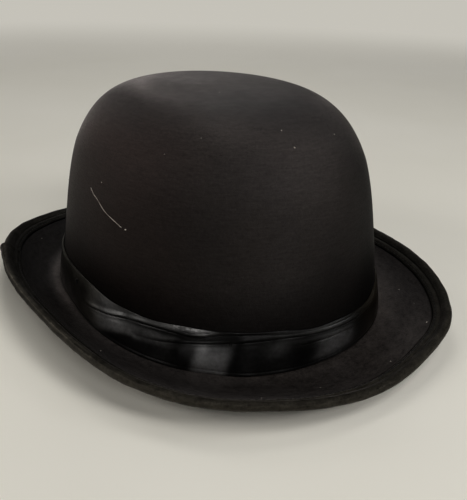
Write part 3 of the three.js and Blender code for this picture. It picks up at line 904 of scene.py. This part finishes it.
def band_painted_highlights(turn, high):
    """How much the satin gleams, as painted highlights and painted reflections: quiet, with a few
    bright places.
    """
    turn, high = np.broadcast_arrays(turn, high)
    deg = near_degrees(turn)
    first, second = around(turn, TUCKS[0][0], 2.0), around(turn, TUCKS[1][0], 2.0)
    low = around(turn, PAINTED_HIGHLIGHT_LOW, 1.5)
    gloss_with_painted_light = low + (around(turn, PAINTED_HIGHLIGHT_HIGH, 1.5) - low) * fade(high, 11.5, 4.0)
    # painted highlight on the gathered strip above the first tuck
    near = deg * DEG
    gather = 0.5 + 0.5 * np.cos(near * 128 + 2.2 * np.sin(near * 37) + 1.1 * high)
    strip = around(turn, PAINTED_HIGHLIGHT_FIRST, 0.9) * (1 - 0.3 * bump(deg, -128, 8) * gather)
    gloss_with_painted_light = gloss_with_painted_light + strip * over(high - first - 0.1 - 2.0 * bump(deg, -131, 7.0, 4), 0.25)
    gloss_with_painted_light = gloss_with_painted_light + around(turn, PAINTED_HIGHLIGHT_SECOND, 1.0) * over(high - second - 0.2, 0.35)
    above = high - around(turn, PATCH_BORDER, 1.2)
    patch = around(turn, PATCH_PAINTED_HIGHLIGHT, 1.2) * over(above, 0.45)
    gloss_with_painted_light = gloss_with_painted_light + patch * (1 - 0.8 * fade(above, 2.4, 4.2)) * over(first - high, 0.3)
    column = bump(deg, -121.8 + 0.16 * (high - 8), 4.6, 6)
    gloss_with_painted_light = gloss_with_painted_light + np.interp(high, *np.array(BRIGHTEST_PAINTED).T) * column
    for amount, place, level, wide, tall, power, climb in PAINTED_GLEAMS:
        centre = level + climb * (deg - place)
        gleam = bump(deg, place, wide, power) * bump(high, centre, tall, power)
        gloss_with_painted_light = gloss_with_painted_light + amount * gleam
    for row in PAINTED_SHADE_PLACES:
        gloss_with_painted_light = gloss_with_painted_light * (1 - patches(deg, high, [row]))
    # painted shade just below the first tuck and in a dark fold
    gloss_with_painted_light = gloss_with_painted_light * (1 - 0.6 * bump(high - first, -1.5, 0.9) * bump(deg, -132, 15.0, 4))
    return np.clip(gloss_with_painted_light * (1 - 0.45 * bump(deg, -98, 3.5)), 0.03, 4.8)


def hat_band():
    turn = turns(704)[:, None]
    share = np.concatenate([np.linspace(0, 0.06, 6)[:-1], np.linspace(0.06, 0.94, 104),
                            np.linspace(0.94, 1, 8)[1:]])
    high, out = band_surface(turn, share[None, :])
    top, top_out, low, low_out = high[:, :1], out[:, :1], high[:, -1:], out[:, -1:]
    ones = np.ones_like(top)
    # up the back of the ribbon, down its face, in under the hem
    high = np.concatenate([0.32 * ones, top * 0.33, top * 0.66, top - 0.1, top + 0.08,
                           top + 0.1, high, low - 0.22, low - 0.32, low - 0.3], 1)
    out = np.concatenate([0.3 * ones] * 4 + [0.34 * ones, top_out - 0.1, out, low_out - 0.08,
                                             low_out - 0.35, low_out * 0.4 + 0.3], 1)
    piece = loft("hat_band", on_crown(turn, high, out), sharp=50)
    paint(piece, "gloss_with_painted_light", band_painted_highlights(turn, high))
    paint(piece, "tan", np.broadcast_to(around(turn, BAND_PAINTED_WARM_REFLECTION, 2), high.shape))
    finish(piece, "band_satin", "hat_band")


def band_tack(name, deg):
    """Two short passes of thread over the ribbon, side by side."""
    high, out = band_surface(np.full(300, deg * DEG), np.linspace(0, 1, 300))
    face = float(np.interp(TACK_HIGH, high[::-1], out[::-1]))
    t = np.linspace(0, 1, 11)
    arch = np.sin(np.pi * t)
    parts = []
    for offset in (-0.32, 0.32):
        high = TACK_HIGH + (t - 0.5) * 3.2
        turn = deg * DEG + (offset + 0.1 * arch * np.sign(offset)) / 95.0
        centres = on_crown(turn, high, face + 0.34 + 0.12 * arch - 0.75 * (1 - arch**0.4))
        parts.append(tube(centres, crown_normal(turn, high), 0.2, sides=8))
    finish(joined(name, parts, sharp=60), "thread", name)


# ---------------------------------------------------------------- flat bow, wearer's left
def bow_ribbon(name, face, half, closed):
    """The bow's ribbon, half a thickness either side of its middle surface."""
    if closed:
        along = np.roll(face, -1, 0) - np.roll(face, 1, 0)
    else:
        along = np.gradient(face, axis=0)
    normal = unit(np.cross(along, np.gradient(face, axis=1)))
    ring = slab(face + normal * half, face - normal * half)
    finish(loft(name, ring, closed, sharp=55), "bow_satin", name)


def bow_loop(name, side):
    """Out along the back ply, round the end, in along the front ply; side -1 is forward."""
    t = np.linspace(0, 1, 64)[:, None]
    across = np.linspace(-1, 1, 25)
    root, reach, back = 1.5, 29.5, 3.15
    x = root + (reach - root) * (1 - np.abs(1 - 2 * t) ** 2.6) ** (1 / 1.25)
    belly = 2.3 * np.sin(np.pi * fade(x, root, reach - root) ** 0.8) ** 0.7
    out = back + (0.9 + belly) * (0.5 - 0.5 * np.cos(np.pi * fade(t, 0.42, 0.16)))
    high = BAND_MIDDLE + across * (12.8 + 6.2 * (1 - np.exp(-x / 9.0))) / 2
    pleat = 0.55 * np.exp(-(x - root) / 11.0) * np.cos(TAU * across * 1.6 + 0.5 + side * 0.4)
    pleat = pleat + 0.18 * np.cos(TAU * across * 0.9 + x / 7.0)
    pillow = 1 - np.abs(across) ** 3.2
    out = out + pleat * np.where(t < 0.5, 0.25, 1.0) * (0.35 + 0.65 * pillow)
    base = back + 0.55
    out = np.where(t > 0.5, base + (out - base) * (0.45 + 0.55 * pillow), out)
    x = x + 0.5 * np.cos(across * 2.2 + 0.3) * fade(x, 20, 9)
    bow_ribbon(name, on_crown(side * x / 90.5, high, out), 0.17, closed=False)


def bow_knot():
    """A rounded upright wrap, tall and shallow."""
    angle = (np.arange(72) * TAU / 72)[:, None]
    across = np.linspace(-1, 1, 23)
    half_high = 9.3
    from_middle = half_high * np.sign(np.cos(angle)) * np.abs(np.cos(angle)) ** 0.42
    out = 4.55 + 2.15 * np.sign(np.sin(angle)) * np.abs(np.sin(angle)) ** 0.75
    upright = np.clip(from_middle / half_high, -1, 1)
    waist = 5.5 - 0.8 * np.cos(upright * np.pi / 2) ** 2
    fold = 0.3 * np.cos(TAU * across * 1.5 + 0.4)
    fold = fold + 0.14 * np.cos(TAU * across * 3.2 + 1.0 + angle)
    front = np.clip(np.sin(angle), 0, 1) ** 0.5
    out = out + front * (fold - 0.75 * np.abs(across) ** 3)
    sag = np.sign(from_middle) * (1 - front) * (-0.35 * across**2)
    face = on_crown(across * waist / 90.0, BAND_MIDDLE + from_middle + sag, out)
    bow_ribbon("bow_knot", face, 0.18, closed=True)


# ---------------------------------------------------------------- brim
# painted light and shade on the nap of the brim's top: amount, degrees, width, mm out from the
# crown, size[, power]
BRIM_PAINTED_LIGHT = [
    (0.5, -80, 62.0, 0, 10, 4), (0.35, -158, 20, 0, 10), (1.75, -200, 26.0, 1.0, 7.5),
    (-0.4, -88, 16, 0, 4), (0.25, -215, 25, 0, 9), (-0.35, -90, 18, -2, 4),
]
# painted light and shade that come in towards the edge: amount, degrees, width, start, span[,
# power]
BRIM_OUTER_PAINTED_LIGHT = [
    (-0.85, -216, 42.0, 6.0, 6.0, 4), (-0.22, -160, 15, 8.0, 8.0), (0.42, -80, 17, 4.0, 16.0),
    (0.06, -110, 10, 14.0, 8.0), (0.35, -64, 12, 17.0, 6.0), (-0.34, -30, 24, 14.0, 8.0),
]


def brim_nap_and_painted_light(turn, foot):
    """Lighter and darker areas of the brushed brim, painted light and shade, lighter near the
    crown; foot is mm out from the crown.
    """
    deg = near_degrees(turn)
    lay = 0.04 + 0.36 * bump(foot, 2, 12) + 0.12 * bump(deg, -45, 25)
    lay = lay + patches(deg, foot, BRIM_PAINTED_LIGHT) + patches(deg, foot, BRIM_OUTER_PAINTED_LIGHT, fade)
    return np.exp(np.clip(lay, -0.9, 1.6))


def brim_ply(name, look, top, bottom, dips=None, across=64, steps=464):
    """One ply of the brim; dips are the depths of the groove that the binding's lip presses
    into its top and underside."""
    turn = turns(steps)[:, None]
    length = brim_length(turn)
    share = np.linspace(0, 1, across)
    if dips:  # finer rows round the groove
        mean = length.mean()
        near = (FOLD_U + mean) / (mean - EDGE_STOP)
        share = np.sort(np.concatenate([share, near + np.linspace(-0.05, 0.05, 33)]))
    inset = -length + (length - EDGE_STOP) * share[None, :]
    rim_depth = np.linspace(SWEAT_IN - GAP, 0.4, 4)[None, :]

    def face(level, dip):
        lift = level + brim_swell(turn, inset) + dip * bump(inset, FOLD_U, 0.5)
        return np.concatenate([on_rim(turn, rim_depth, level), on_brim(turn, inset, lift)], 1)

    top_dip, under_dip = dips or (0, 0)
    piece = loft(name, slab(face(top, -top_dip), face(bottom, under_dip)), sharp=50)
    if dips:
        rim = np.zeros((steps, 4))
        # painted shade in the groove by the binding's lip
        crease = np.concatenate([rim, bump(inset, FOLD_U, 0.65)], 1)
        paint(piece, "crease", slab(crease, crease))
        # painted light and shade on the top ply
        lay = np.concatenate([rim + 1, brim_nap_and_painted_light(turn, inset + length)], 1)
        plain = np.ones_like(lay)
        paint(piece, "lay", slab(lay if top_dip else plain, plain))
    finish(piece, look, name)


# painted light and shade on the binding: amount, degrees, width, inset, size[, power]
BIND_PAINTED_LIGHT = [
    (-0.55, -112, 16, 2.2, 1.6), (0.6, -160, 12, 0.2, 1.0), (-0.3, -34, 26, -6.0, 0.9),
    (-0.45, -25, 42.0, -1.6, 1.0, 6), (0.2, -30, 30, -4.6, 0.9), (-0.25, -32, 24, -3.0, 1.2),
]


def brim_binding():
    """Bias binding: a full bulb round the edge, pinched behind it, with padded lips caught down
    by the stitches. Profiles run over the top, round the edge, back underneath, then inside."""
    turn = turns(640)[:, None]
    lip = BIND_W + waves(turn, [(0.12, 23, 0.4), (0.10, 37, 1.2), (0.06, 71, 0.3)])
    radius = BULB_R + waves(turn, [(0.05, 31, 0.2), (0.04, 47, 1.4), (0.03, 89, 0.5)])
    inset = -(lip - (lip - 1.2) * np.linspace(0, 1, 40)[None, :])
    lift = 1.95 + 0.32 * np.sin(np.pi * fade(inset, -lip, 0.9) / 2) ** 0.8
    lift = lift + 0.16 * bump(inset, -4.2, 1.0) - 0.22 * bump(inset, STITCH_U, 0.3)
    lift = lift - 0.46 * bump(inset, CREASE_U, 0.5)
    bulb = np.sqrt(np.clip(radius**2 - np.clip(inset, -radius, 0) ** 2, 0, None))
    lift = np.where(inset > CREASE_U + 0.2, np.maximum(bulb, lift - 0.15), lift)

    # the tape is drawn in by its stitches
    pull = waves(turn, [(0.5, 53, 0.3), (0.35, 87, 1.1), (0.3, 34, 2.0)])
    pucker = 0.06 * np.cos(turn * 236) * bump(inset, STITCH_U, 1.2)
    pucker = pucker + 0.13 * pull * bump(inset, -4.0, 1.3)
    # the free end of the tape lies over the other for a short way
    past = wrap(np.degrees(turn) - LAP_DEG)
    lap = 0.85 * over(past, 0.10) * over(6.5 - past, 1.1)
    lap = lap + 0.9 * bump(past, 0.7, 0.75) * (past > -0.2)

    angle = (np.linspace(90, -90, 29)[1:-1] * DEG)[None, :]
    bulb_r = radius + lap + 0.07 * pull * np.cos(angle)
    face = lift + pucker + lap
    swell = brim_swell(turn, inset)
    # inside faces, a tape's thickness in
    in_lip = inset[:, ::3]
    in_lift = np.maximum(lift[:, ::3] - 0.42, 1.72)
    in_bulb = np.sqrt(np.clip(BULB_IN_R**2 - np.clip(in_lip, -BULB_IN_R, 0) ** 2, 0, None))
    in_lift = np.where(in_lip > -2.6, in_bulb.clip(1.45), in_lift)
    ones = np.ones_like(turn)
    in_inset = np.concatenate(
        [in_lip, BULB_IN_R * np.cos(angle)[:, ::3] * ones, in_lip[:, ::-1]], 1)
    in_face = np.concatenate(
        [in_lift, BULB_IN_R * np.sin(angle)[:, ::3] * ones, -in_lift[:, ::-1]], 1)
    in_face = in_face + brim_swell(turn, np.minimum(in_inset, 0))

    raw, raw_lift, raw_swell = -(lip + 0.10), 1.98, swell[:, :1]
    insets = np.concatenate(
        [raw, inset, bulb_r * np.cos(angle), inset[:, ::-1], raw, in_inset[:, ::-1]], 1)
    lifts = np.concatenate([
        raw_lift + raw_swell, face + swell, bulb_r * np.sin(angle) + brim_swell(turn, 0.0),
        (swell - face)[:, ::-1], raw_swell - raw_lift, in_face[:, ::-1]], 1)
    piece = loft("brim_binding", on_brim(turn, insets, lifts), sharp=60)

    lip_wear = bump(inset, 0, 1.6) * 0.6
    bulb_wear = np.clip(np.cos(angle - 0.3), 0, 1) ** 1.2 * ones
    paint(piece, "wear", np.concatenate(
        [0 * ones, lip_wear, bulb_wear, lip_wear[:, ::-1], 0 * ones, 0 * in_inset], 1))

    deg = near_degrees(turn)
    # painted light and shade on the binding: lighter on its outer side, painted shade on its left,
    # a painted highlight at the front
    outer = np.clip(insets / 1.2, 0, 1) * (lifts < 0.6)
    lay = -(0.9 * bump(deg, -192, 50.0, 6) + 0.2 * bump(deg, -200, 20)) * (1 - outer)
    lay = lay + 0.25 * outer + 0.42 * bump(deg, -114, 16) + 0.35 * outer * bump(deg, -150, 18)
    # round the roll, in degrees: 90 on top, 0 straight out, -90 underneath
    lean = np.degrees(np.arctan2(np.maximum(lift, 0.1), inset))
    roll = np.concatenate([180 * ones, lean, np.degrees(angle) * ones, -lean[:, ::-1],
                           -180 * ones, np.full(in_inset.shape, -180.0)], 1)
    # painted highlight on the upper side of the roll and painted shade on its lower side, on the
    # left
    left_roll_painted_light = bump(deg, -196, 34.0, 4)
    centre = 28 - 10 * bump(deg, -166, 9) + 14 * bump(deg, -152, 8)
    lay = lay + (1.45 * left_roll_painted_light + 0.9 * bump(deg, -156, 9)) * bump(roll, centre, 24.0)
    lay = lay - (left_roll_painted_light + 0.35 * bump(deg, -154, 12)) * bump(roll, -30, 28.0)
    lay = lay + patches(deg, insets, BIND_PAINTED_LIGHT) - 0.25 * bump(deg, -25, 42.0, 6)
    paint(piece, "lay", np.exp(lay + 0.12 * pull))
    finish(piece, "binding_cloth", "brim_binding")


def brim_wire():
    turn = turns(240)[:, None]
    angle = (np.arange(20) * TAU / 20)[None, :]
    lift = 1.3 * np.sin(angle) + brim_swell(turn, 0.0)
    finish(loft("brim_wire", on_brim(turn, 1.3 * np.cos(angle), lift)), "edge_cord", "brim_wire")


def binding_stitching(name, side, seed):
    """Stitches of the binding; side is 1 on top, -1 underneath."""
    turn = np.linspace(0, TAU, 1441)
    swell = brim_swell(turn, STITCH_U)
    points = on_brim(turn, STITCH_U, side * 2.15 + swell)
    normals = on_brim(turn, STITCH_U, side * 3.15 + swell) - points
    stitch_row(name, points, normals, length=2.5, pitch=3.3, radius=0.2, jitter=0.12, seed=seed)


# ---------------------------------------------------------------- inside
def no_relief(turn, high):
    return 0 * turn * high


def sweat_relief(turn, high):
    return fade(high, 0, SWEAT_H) ** 2 * waves(turn, [(0.07, 9, 0.3), (0.05, 16, 1.0)])


def wall_piece(name, low, high, depth, thick, steps, count, relief=no_relief):
    """A strip of tape standing inside the crown, with rounded top and bottom edges."""
    turn = turns(count)[:, None]
    levels = np.linspace(low, high, steps)[None, :]
    extra = relief(turn, levels)
    middle = depth + thick / 2
    outer = on_crown(turn, levels, -(depth + extra))
    inner = on_crown(turn, levels, -(depth + thick + extra))
    top = on_crown(turn, high + min(0.25, thick / 2), -(middle + extra[:, -1:]))
    bottom = on_crown(turn, low - min(0.2, thick / 2), -(middle + extra[:, :1]))
    ring = np.concatenate([outer, top, inner[:, ::-1], bottom], 1)
    finish(loft(name, ring, sharp=50), "cotton_tape", name)


def lining_side():
    """The pleated wall of the lining."""
    turn = turns(816)[:, None]
    high = np.concatenate([np.linspace(22, 90, 34), np.linspace(90, TIP_HIGH, 26)[1:]])[None, :]
    pleats = 0.35 + 0.35 * np.abs(np.sin(turn * 26 + 0.8 * np.sin(5 * turn))) ** 0.7
    relief = fade(high, 22, 80) ** 1.3 * pleats + 0.05
    outer = on_crown(turn, high, -(INSIDE + relief * 0.9))
    inner = on_crown(turn, high, -(INSIDE + 0.35 + relief))
    finish(loft("lining_side", slab(outer, inner), sharp=70), "lining_satin", "lining_side")


def lining_tip():
    """Flat panel at the top of the lining, with a turned edge."""
    high = LIFT + TIP_HIGH - INSIDE - LINING_T
    low = high - LINING_T
    turn = turns(192)
    count = len(turn)
    radius = oval_radius(turn, CROWN_OVAL[0] * 0.585, CROWN_OVAL[1] * 0.585, 2.05)
    rings = []
    for share in [*np.linspace(0.04, 0.93, 22), 0.955, 0.975, 0.99, 1.0]:
        z = low + 0.12 * np.cos(18 * turn) * bump(share, 0.96, 0.05)
        z = z - 0.16 * bump(share, 0.965, 0.018) + (0.2 if share == 1.0 else 0)
        rings.append(polar(radius * share, turn, z))
    rings += [polar(radius * share, turn, high) for share in (0.99, 0.7, 0.35, 0.04)]
    verts = np.concatenate([[[0, 0, low]], *rings, [[0, 0, high]]])
    top = len(verts) - 1
    faces = [face[::-1] for face in fan(1, count, 0)]
    faces += (quads(len(rings), count) + 1).tolist() + fan(top - count, count, top)
    piece = mesh_object("lining_tip", verts, faces, verts[np.concatenate(faces)][:, :2], 50)
    face_out(piece)
    finish(piece, "lining_satin", "lining_tip")


def sweatband_stitching():
    turn = np.linspace(0, TAU, 1441)
    points = on_crown(turn, 1.45, -(SWEAT_FACE + 0.05))
    stitch_row("sweatband_stitching", points, -crown_normal(turn, 1.45), length=2.6, pitch=3.4,
               radius=0.22, jitter=0.1, seed=21)


def size_label():
    """Blank label on the sweatband, at the back."""
    turn = (np.linspace(78.8, 101.2, 40) * DEG)[:, None]
    high = np.linspace(8, 22, 16)[None, :]
    lift = 0.10 + 0.25 * np.abs(np.linspace(-1, 1, 40)) ** 6 + 0.05 * np.cos(np.linspace(0, 7, 40))
    depth = SWEAT_FACE + 0.12 + lift[:, None]
    ring = slab(on_crown(turn, high, -depth), on_crown(turn, high, -(depth + 0.3)))
    piece = loft("size_label", ring, closed_path=False, sharp=50)
    finish(piece, "label_cloth", "size_label")


# ---------------------------------------------------------------- lint
# a stray fibre caught in the nap of the crown: degrees, height
FIBRE = [(-174.6, 72.0), (-171.6, 69.9), (-169.1, 68.4), (-164.0, 64.9), (-159.2, 62.5),
         (-155.4, 61.0), (-154.2, 60.4)]
TIP_FLECKS = [(-8.7, 5.2, 0.26), (-11.5, -19.3, 0.36), (-24.0, 14.0, 0.2), (10.0, -30.0, 0.2),
              (30.0, 20.0, 0.24)]  # x, y, size
CROWN_FLECKS = [  # degrees, height, size
    (-96.6, 109.2, 0.34), (-94.4, 102.9, 0.36), (-72.1, 104.2, 0.28), (-167.8, 77.5, 0.34),
    (-128.0, 106.0, 0.16), (-141.0, 98.0, 0.14), (150.0, 60.0, 0.28), (70.0, 88.0, 0.26),
    (20.0, 104.0, 0.3), (-20.0, 70.0, 0.25),
]
BRIM_FLECKS = [  # degrees, inset, size
    (-152.0, -14.0, 0.28), (-78.5, -11.5, 0.34), (-59.5, -9.6, 0.4), (-42.0, -21.0, 0.26),
    (-50.0, -16.0, 0.22), (-112.0, -12.0, 0.2), (-98.0, -17.0, 0.2), (130.0, -14.0, 0.3),
    (60.0, -22.0, 0.26), (5.0, -12.0, 0.3),
]


def spline(values, t):
    """Catmull-Rom curve through the values at t = 0, 1, 2..."""
    i = np.clip(t.astype(int), 0, len(values) - 2)
    x = t - i
    before, start = values[np.maximum(i - 1, 0)], values[i]
    end, after = values[i + 1], values[np.minimum(i + 2, len(values) - 1)]
    square = (2 * before - 5 * start + 4 * end - after) * x**2
    cube = (3 * start - before - 3 * end + after) * x**3
    return 0.5 * (2 * start + (end - before) * x + square + cube)


def ball(subdivisions, radius):
    work = bmesh.new()
    bmesh.ops.create_icosphere(work, subdivisions=subdivisions, radius=radius)
    verts = np.array([list(vert.co) for vert in work.verts])
    faces = [[vert.index for vert in face.verts] for face in work.faces]
    work.free()
    return verts, faces


def crown_spot(turn, high):
    return on_crown(np.array(turn), high, 0.12), crown_normal(np.array(turn), high)


def tip_spot(x, y):
    """The crown's top above a place in plan."""
    turn = math.atan2(y, x)
    levels = np.linspace(104, CROWN_H - 0.001, 500)
    reach = np.linalg.norm(on_crown(np.full(500, turn), levels, 0.12)[:, :2], axis=1)
    return crown_spot(turn, float(np.interp(-np.hypot(x, y), -reach, levels)))


def brim_spot(turn, inset):
    turn = np.array([turn])
    lift = BRIM_T / 2 + brim_swell(turn, inset) + 0.12
    centre = on_brim(turn, inset, lift)[0]
    return centre, on_brim(turn, inset, lift + 1.0)[0] - centre


def fleck(centre, normal, size, rng):
    """A lumpy flattened ball lying on the cloth."""
    normal = unit(normal)
    helper = [0.3, 0.2, 0.9] if abs(normal[2]) < 0.8 else [1.0, 0.1, 0.0]
    side = unit(np.cross(normal, helper))
    spin = rng.uniform(0, TAU)
    length = rng.uniform(1.1, 1.9)
    along = np.cos(spin) * side + np.sin(spin) * np.cross(normal, side)
    across = np.cross(normal, along)
    verts, faces = ball(2, 1.0)
    verts = verts * (1 + 0.22 * np.sin(verts[:, :1] * 5 + spin) * np.cos(verts[:, 1:2] * 4))
    axes = np.stack([along * length, across * 0.8, normal * 0.45])
    return centre + 0.8 * size * (verts @ axes), faces


def lint_thread():
    """The stray fibre with a knot at its end, and flecks over the crown and brim."""
    deg, level = np.array(FIBRE).T
    t = np.linspace(0, len(FIBRE) - 1, 60)
    turn, high = spline(deg, t) * DEG, spline(level, t)
    centres = on_crown(turn, high, 0.3 + 0.25 * np.sin(np.linspace(0, 9, 60)) ** 2)
    thick = 0.12 + 0.03 * np.sin(np.linspace(0, 30, 60))
    parts = [tube(centres, crown_normal(turn, high), thick)]
    verts, faces = ball(3, 0.36)
    x, y, z = verts[:, :1], verts[:, 1:2], verts[:, 2:3]
    verts = verts * (1 + 0.25 * np.sin(x * 9 + y * 7) + 0.2 * np.cos(z * 11))
    parts.append((on_crown(-152.4 * DEG, 60.1, 0.32) + verts, faces))
    spots = [(*tip_spot(x, y), size) for x, y, size in TIP_FLECKS]
    spots += [(*crown_spot(deg * DEG, high), size) for deg, high, size in CROWN_FLECKS]
    spots += [(*brim_spot(deg * DEG, inset), size) for deg, inset, size in BRIM_FLECKS]
    rng = np.random.default_rng(4)
    parts += [fleck(*spot, rng) for spot in spots]
    finish(joined("lint_thread", parts, sharp=70), "lint")


# ---------------------------------------------------------------- build the hat
crown_cover()
crown_core()
hat_band()
for place, degrees in TACKS:
    band_tack("band_tack_" + place, degrees)
bow_loop("bow_loop_front", -1)
bow_loop("bow_loop_back", 1)
bow_knot()
HALF = BRIM_T / 2
brim_ply("brim_top_cover", "brim_cloth", HALF, HALF - 0.6, dips=(0.45, 0))
brim_ply("brim_board", "moulded_core", 0.7, -0.7, across=24, steps=240)
brim_ply("brim_under_cover", "brim_cloth", -HALF + 0.6, -HALF, dips=(0, 0.45))
brim_binding()
brim_wire()
binding_stitching("binding_stitching_top", side=1, seed=5)
binding_stitching("binding_stitching_under", side=-1, seed=9)
wall_piece("crown_seam_tape", low=0.8, high=18, depth=INSIDE, thick=LINING_T, steps=12, count=288)
wall_piece("sweatband", low=-2.6, high=SWEAT_H - 0.3, depth=SWEAT_IN, thick=SWEAT_T, steps=28,
           count=480, relief=sweat_relief)
lining_side()
lining_tip()
sweatband_stitching()
size_label()
lint_thread()

# ---------------------------------------------------------------- stage, light, camera
BACKDROP = (0.56, 0.54, 0.485)


def floor():
    """A pale floor, clear from below, that fades into the backdrop for the camera."""
    look = Look("studio_floor")
    place = look.object_place(scale=1)
    soft = look.noise(place, scale=3.0, detail=4, rough=0.55)
    tones = (0.885, 0.855, 0.755), (0.92, 0.89, 0.795)
    base = look.mix(look.ramp(soft, (0.3, 0.7)), *tones)
    look.shader(Base_Color=base, Roughness=0.5, Specular_IOR_Level=0.3)
    away = look.node("VectorMath", place, output="Value", settings={"operation": "LENGTH"})
    seen = look.node("LightPath", output="Is Camera Ray")
    far = look.ramp(away, (0.7, 1.5)) * seen
    glow = look.node("Emission", Color=BACKDROP)
    above = look.node("MixShader", far, look.surface.outputs[0], glow)
    behind = look.node("NewGeometry", output="Backfacing")
    shown = look.node("MixShader", behind, above, look.node("BsdfTransparent"))
    look.put(look.out.inputs[0], shown)
    mesh = bpy.data.meshes.new("studio_floor")
    half = 6.0
    corners = [(-half, -half, 0), (half, -half, 0), (half, half, 0), (-half, half, 0)]
    mesh.from_pydata(corners, [], [(0, 1, 2, 3)])
    plane = bpy.data.objects.new("studio_floor", mesh)
    bpy.context.scene.collection.objects.link(plane)
    mesh.materials.append(look.material)
    plane.location.z = -0.0002


NEUTRAL, WARM, COOL = (1.0, 0.99, 0.98), (1.0, 0.975, 0.94), (0.95, 0.975, 1.0)
SOFTBOXES = [  # name, azimuth and elevation in degrees, watts, diameter in metres, colour
    ("overhead_front", -77, 62, 5.3, 0.75, NEUTRAL),
    ("front_right", -68, 34, 5.2, 0.4, NEUTRAL),
    ("front", -104, 34, 3.5, 0.4, NEUTRAL),
    ("overhead_back", 58, 62, 3.0, 0.75, NEUTRAL),
    ("left_low", 148, 10, 2.1, 0.4, WARM),
    ("left", 166, 34, 2.0, 0.4, WARM),
    ("left_front", 186, 34, 1.8, 0.4, WARM),
    ("right", -32, 34, 1.6, 0.4, COOL),
    ("overhead_right", -32, 62, 1.3, 0.75, COOL),
    ("back_left", 112, 34, 1.3, 0.4, NEUTRAL),
    ("front_low", 220, 10, 1.2, 0.4, NEUTRAL),
    ("back", 58, 34, 1.9, 0.6, NEUTRAL),
]


def softbox(name, azimuth, elevation, power, size, color, distance=1.6, straight_down=False):
    """A round softbox aimed at the hat, or straight down."""
    turn, tilt = azimuth * DEG, elevation * DEG
    light = bpy.data.lights.new(name, "AREA")
    light.shape = "DISK"
    light.size = size
    light.energy = power
    light.color = color
    lamp = bpy.data.objects.new(name, light)
    bpy.context.scene.collection.objects.link(lamp)
    aim = Vector((0, 0, 0.06))
    level = math.cos(tilt)
    away = Vector((math.cos(turn) * level, math.sin(turn) * level, math.sin(tilt)))
    lamp.location = away * distance + aim
    lamp.rotation_mode = "QUATERNION"
    if straight_down:
        lamp.rotation_quaternion = (1, 0, 0, 0)
    else:
        lamp.rotation_quaternion = (-away * distance).to_track_quat("-Z", "Y")
    return light


def studio_world():
    """Backdrop colour for the camera; gives no light."""
    world = bpy.data.worlds.new("studio")
    world.use_nodes = True
    nodes, links = world.node_tree.nodes, world.node_tree.links
    air = nodes["Background"]
    air.inputs["Color"].default_value = (*BACKDROP, 1)
    air.inputs["Strength"].default_value = 1.0
    dark = nodes.new("ShaderNodeBackground")
    dark.inputs["Strength"].default_value = 0.0
    mixed, path = nodes.new("ShaderNodeMixShader"), nodes.new("ShaderNodeLightPath")
    links.new(path.outputs["Is Camera Ray"], mixed.inputs[0])
    links.new(dark.outputs[0], mixed.inputs[1])
    links.new(air.outputs[0], mixed.inputs[2])
    links.new(mixed.outputs[0], nodes["World Output"].inputs[0])
    bpy.context.scene.world = world


def camera():
    """Looks down at the hat from its front, on the wearer's right."""
    right = np.array([0.84092734, -0.54019771, 0.03205674])
    forward = np.array([0.50054271, 0.75394819, -0.42546342])
    above = np.array([0.20566524, 0.3738296, 0.90440767])
    place = np.array([-0.19143518, -0.30871677, 0.193119])
    cam = bpy.data.objects.new("camera", bpy.data.cameras.new("camera"))
    bpy.context.scene.collection.objects.link(cam)
    cam.data.sensor_width = 36.0
    cam.data.lens = 46.90656
    cam.data.clip_start = 0.02
    rows = np.column_stack([right, above, -forward, place]).tolist()
    cam.matrix_world = Matrix([*rows, [0, 0, 0, 1]])
    bpy.context.scene.camera = cam


floor()
for row in SOFTBOXES:
    softbox(*row)
# keeps the far floor pale
wash = softbox("floor_wash", azimuth=56, elevation=27, power=20.0, size=2.4, color=NEUTRAL,
               distance=3.4, straight_down=True)
wash.spread = math.radians(64)
studio_world()
bpy.context.scene.view_settings.view_transform = "Standard"
camera()
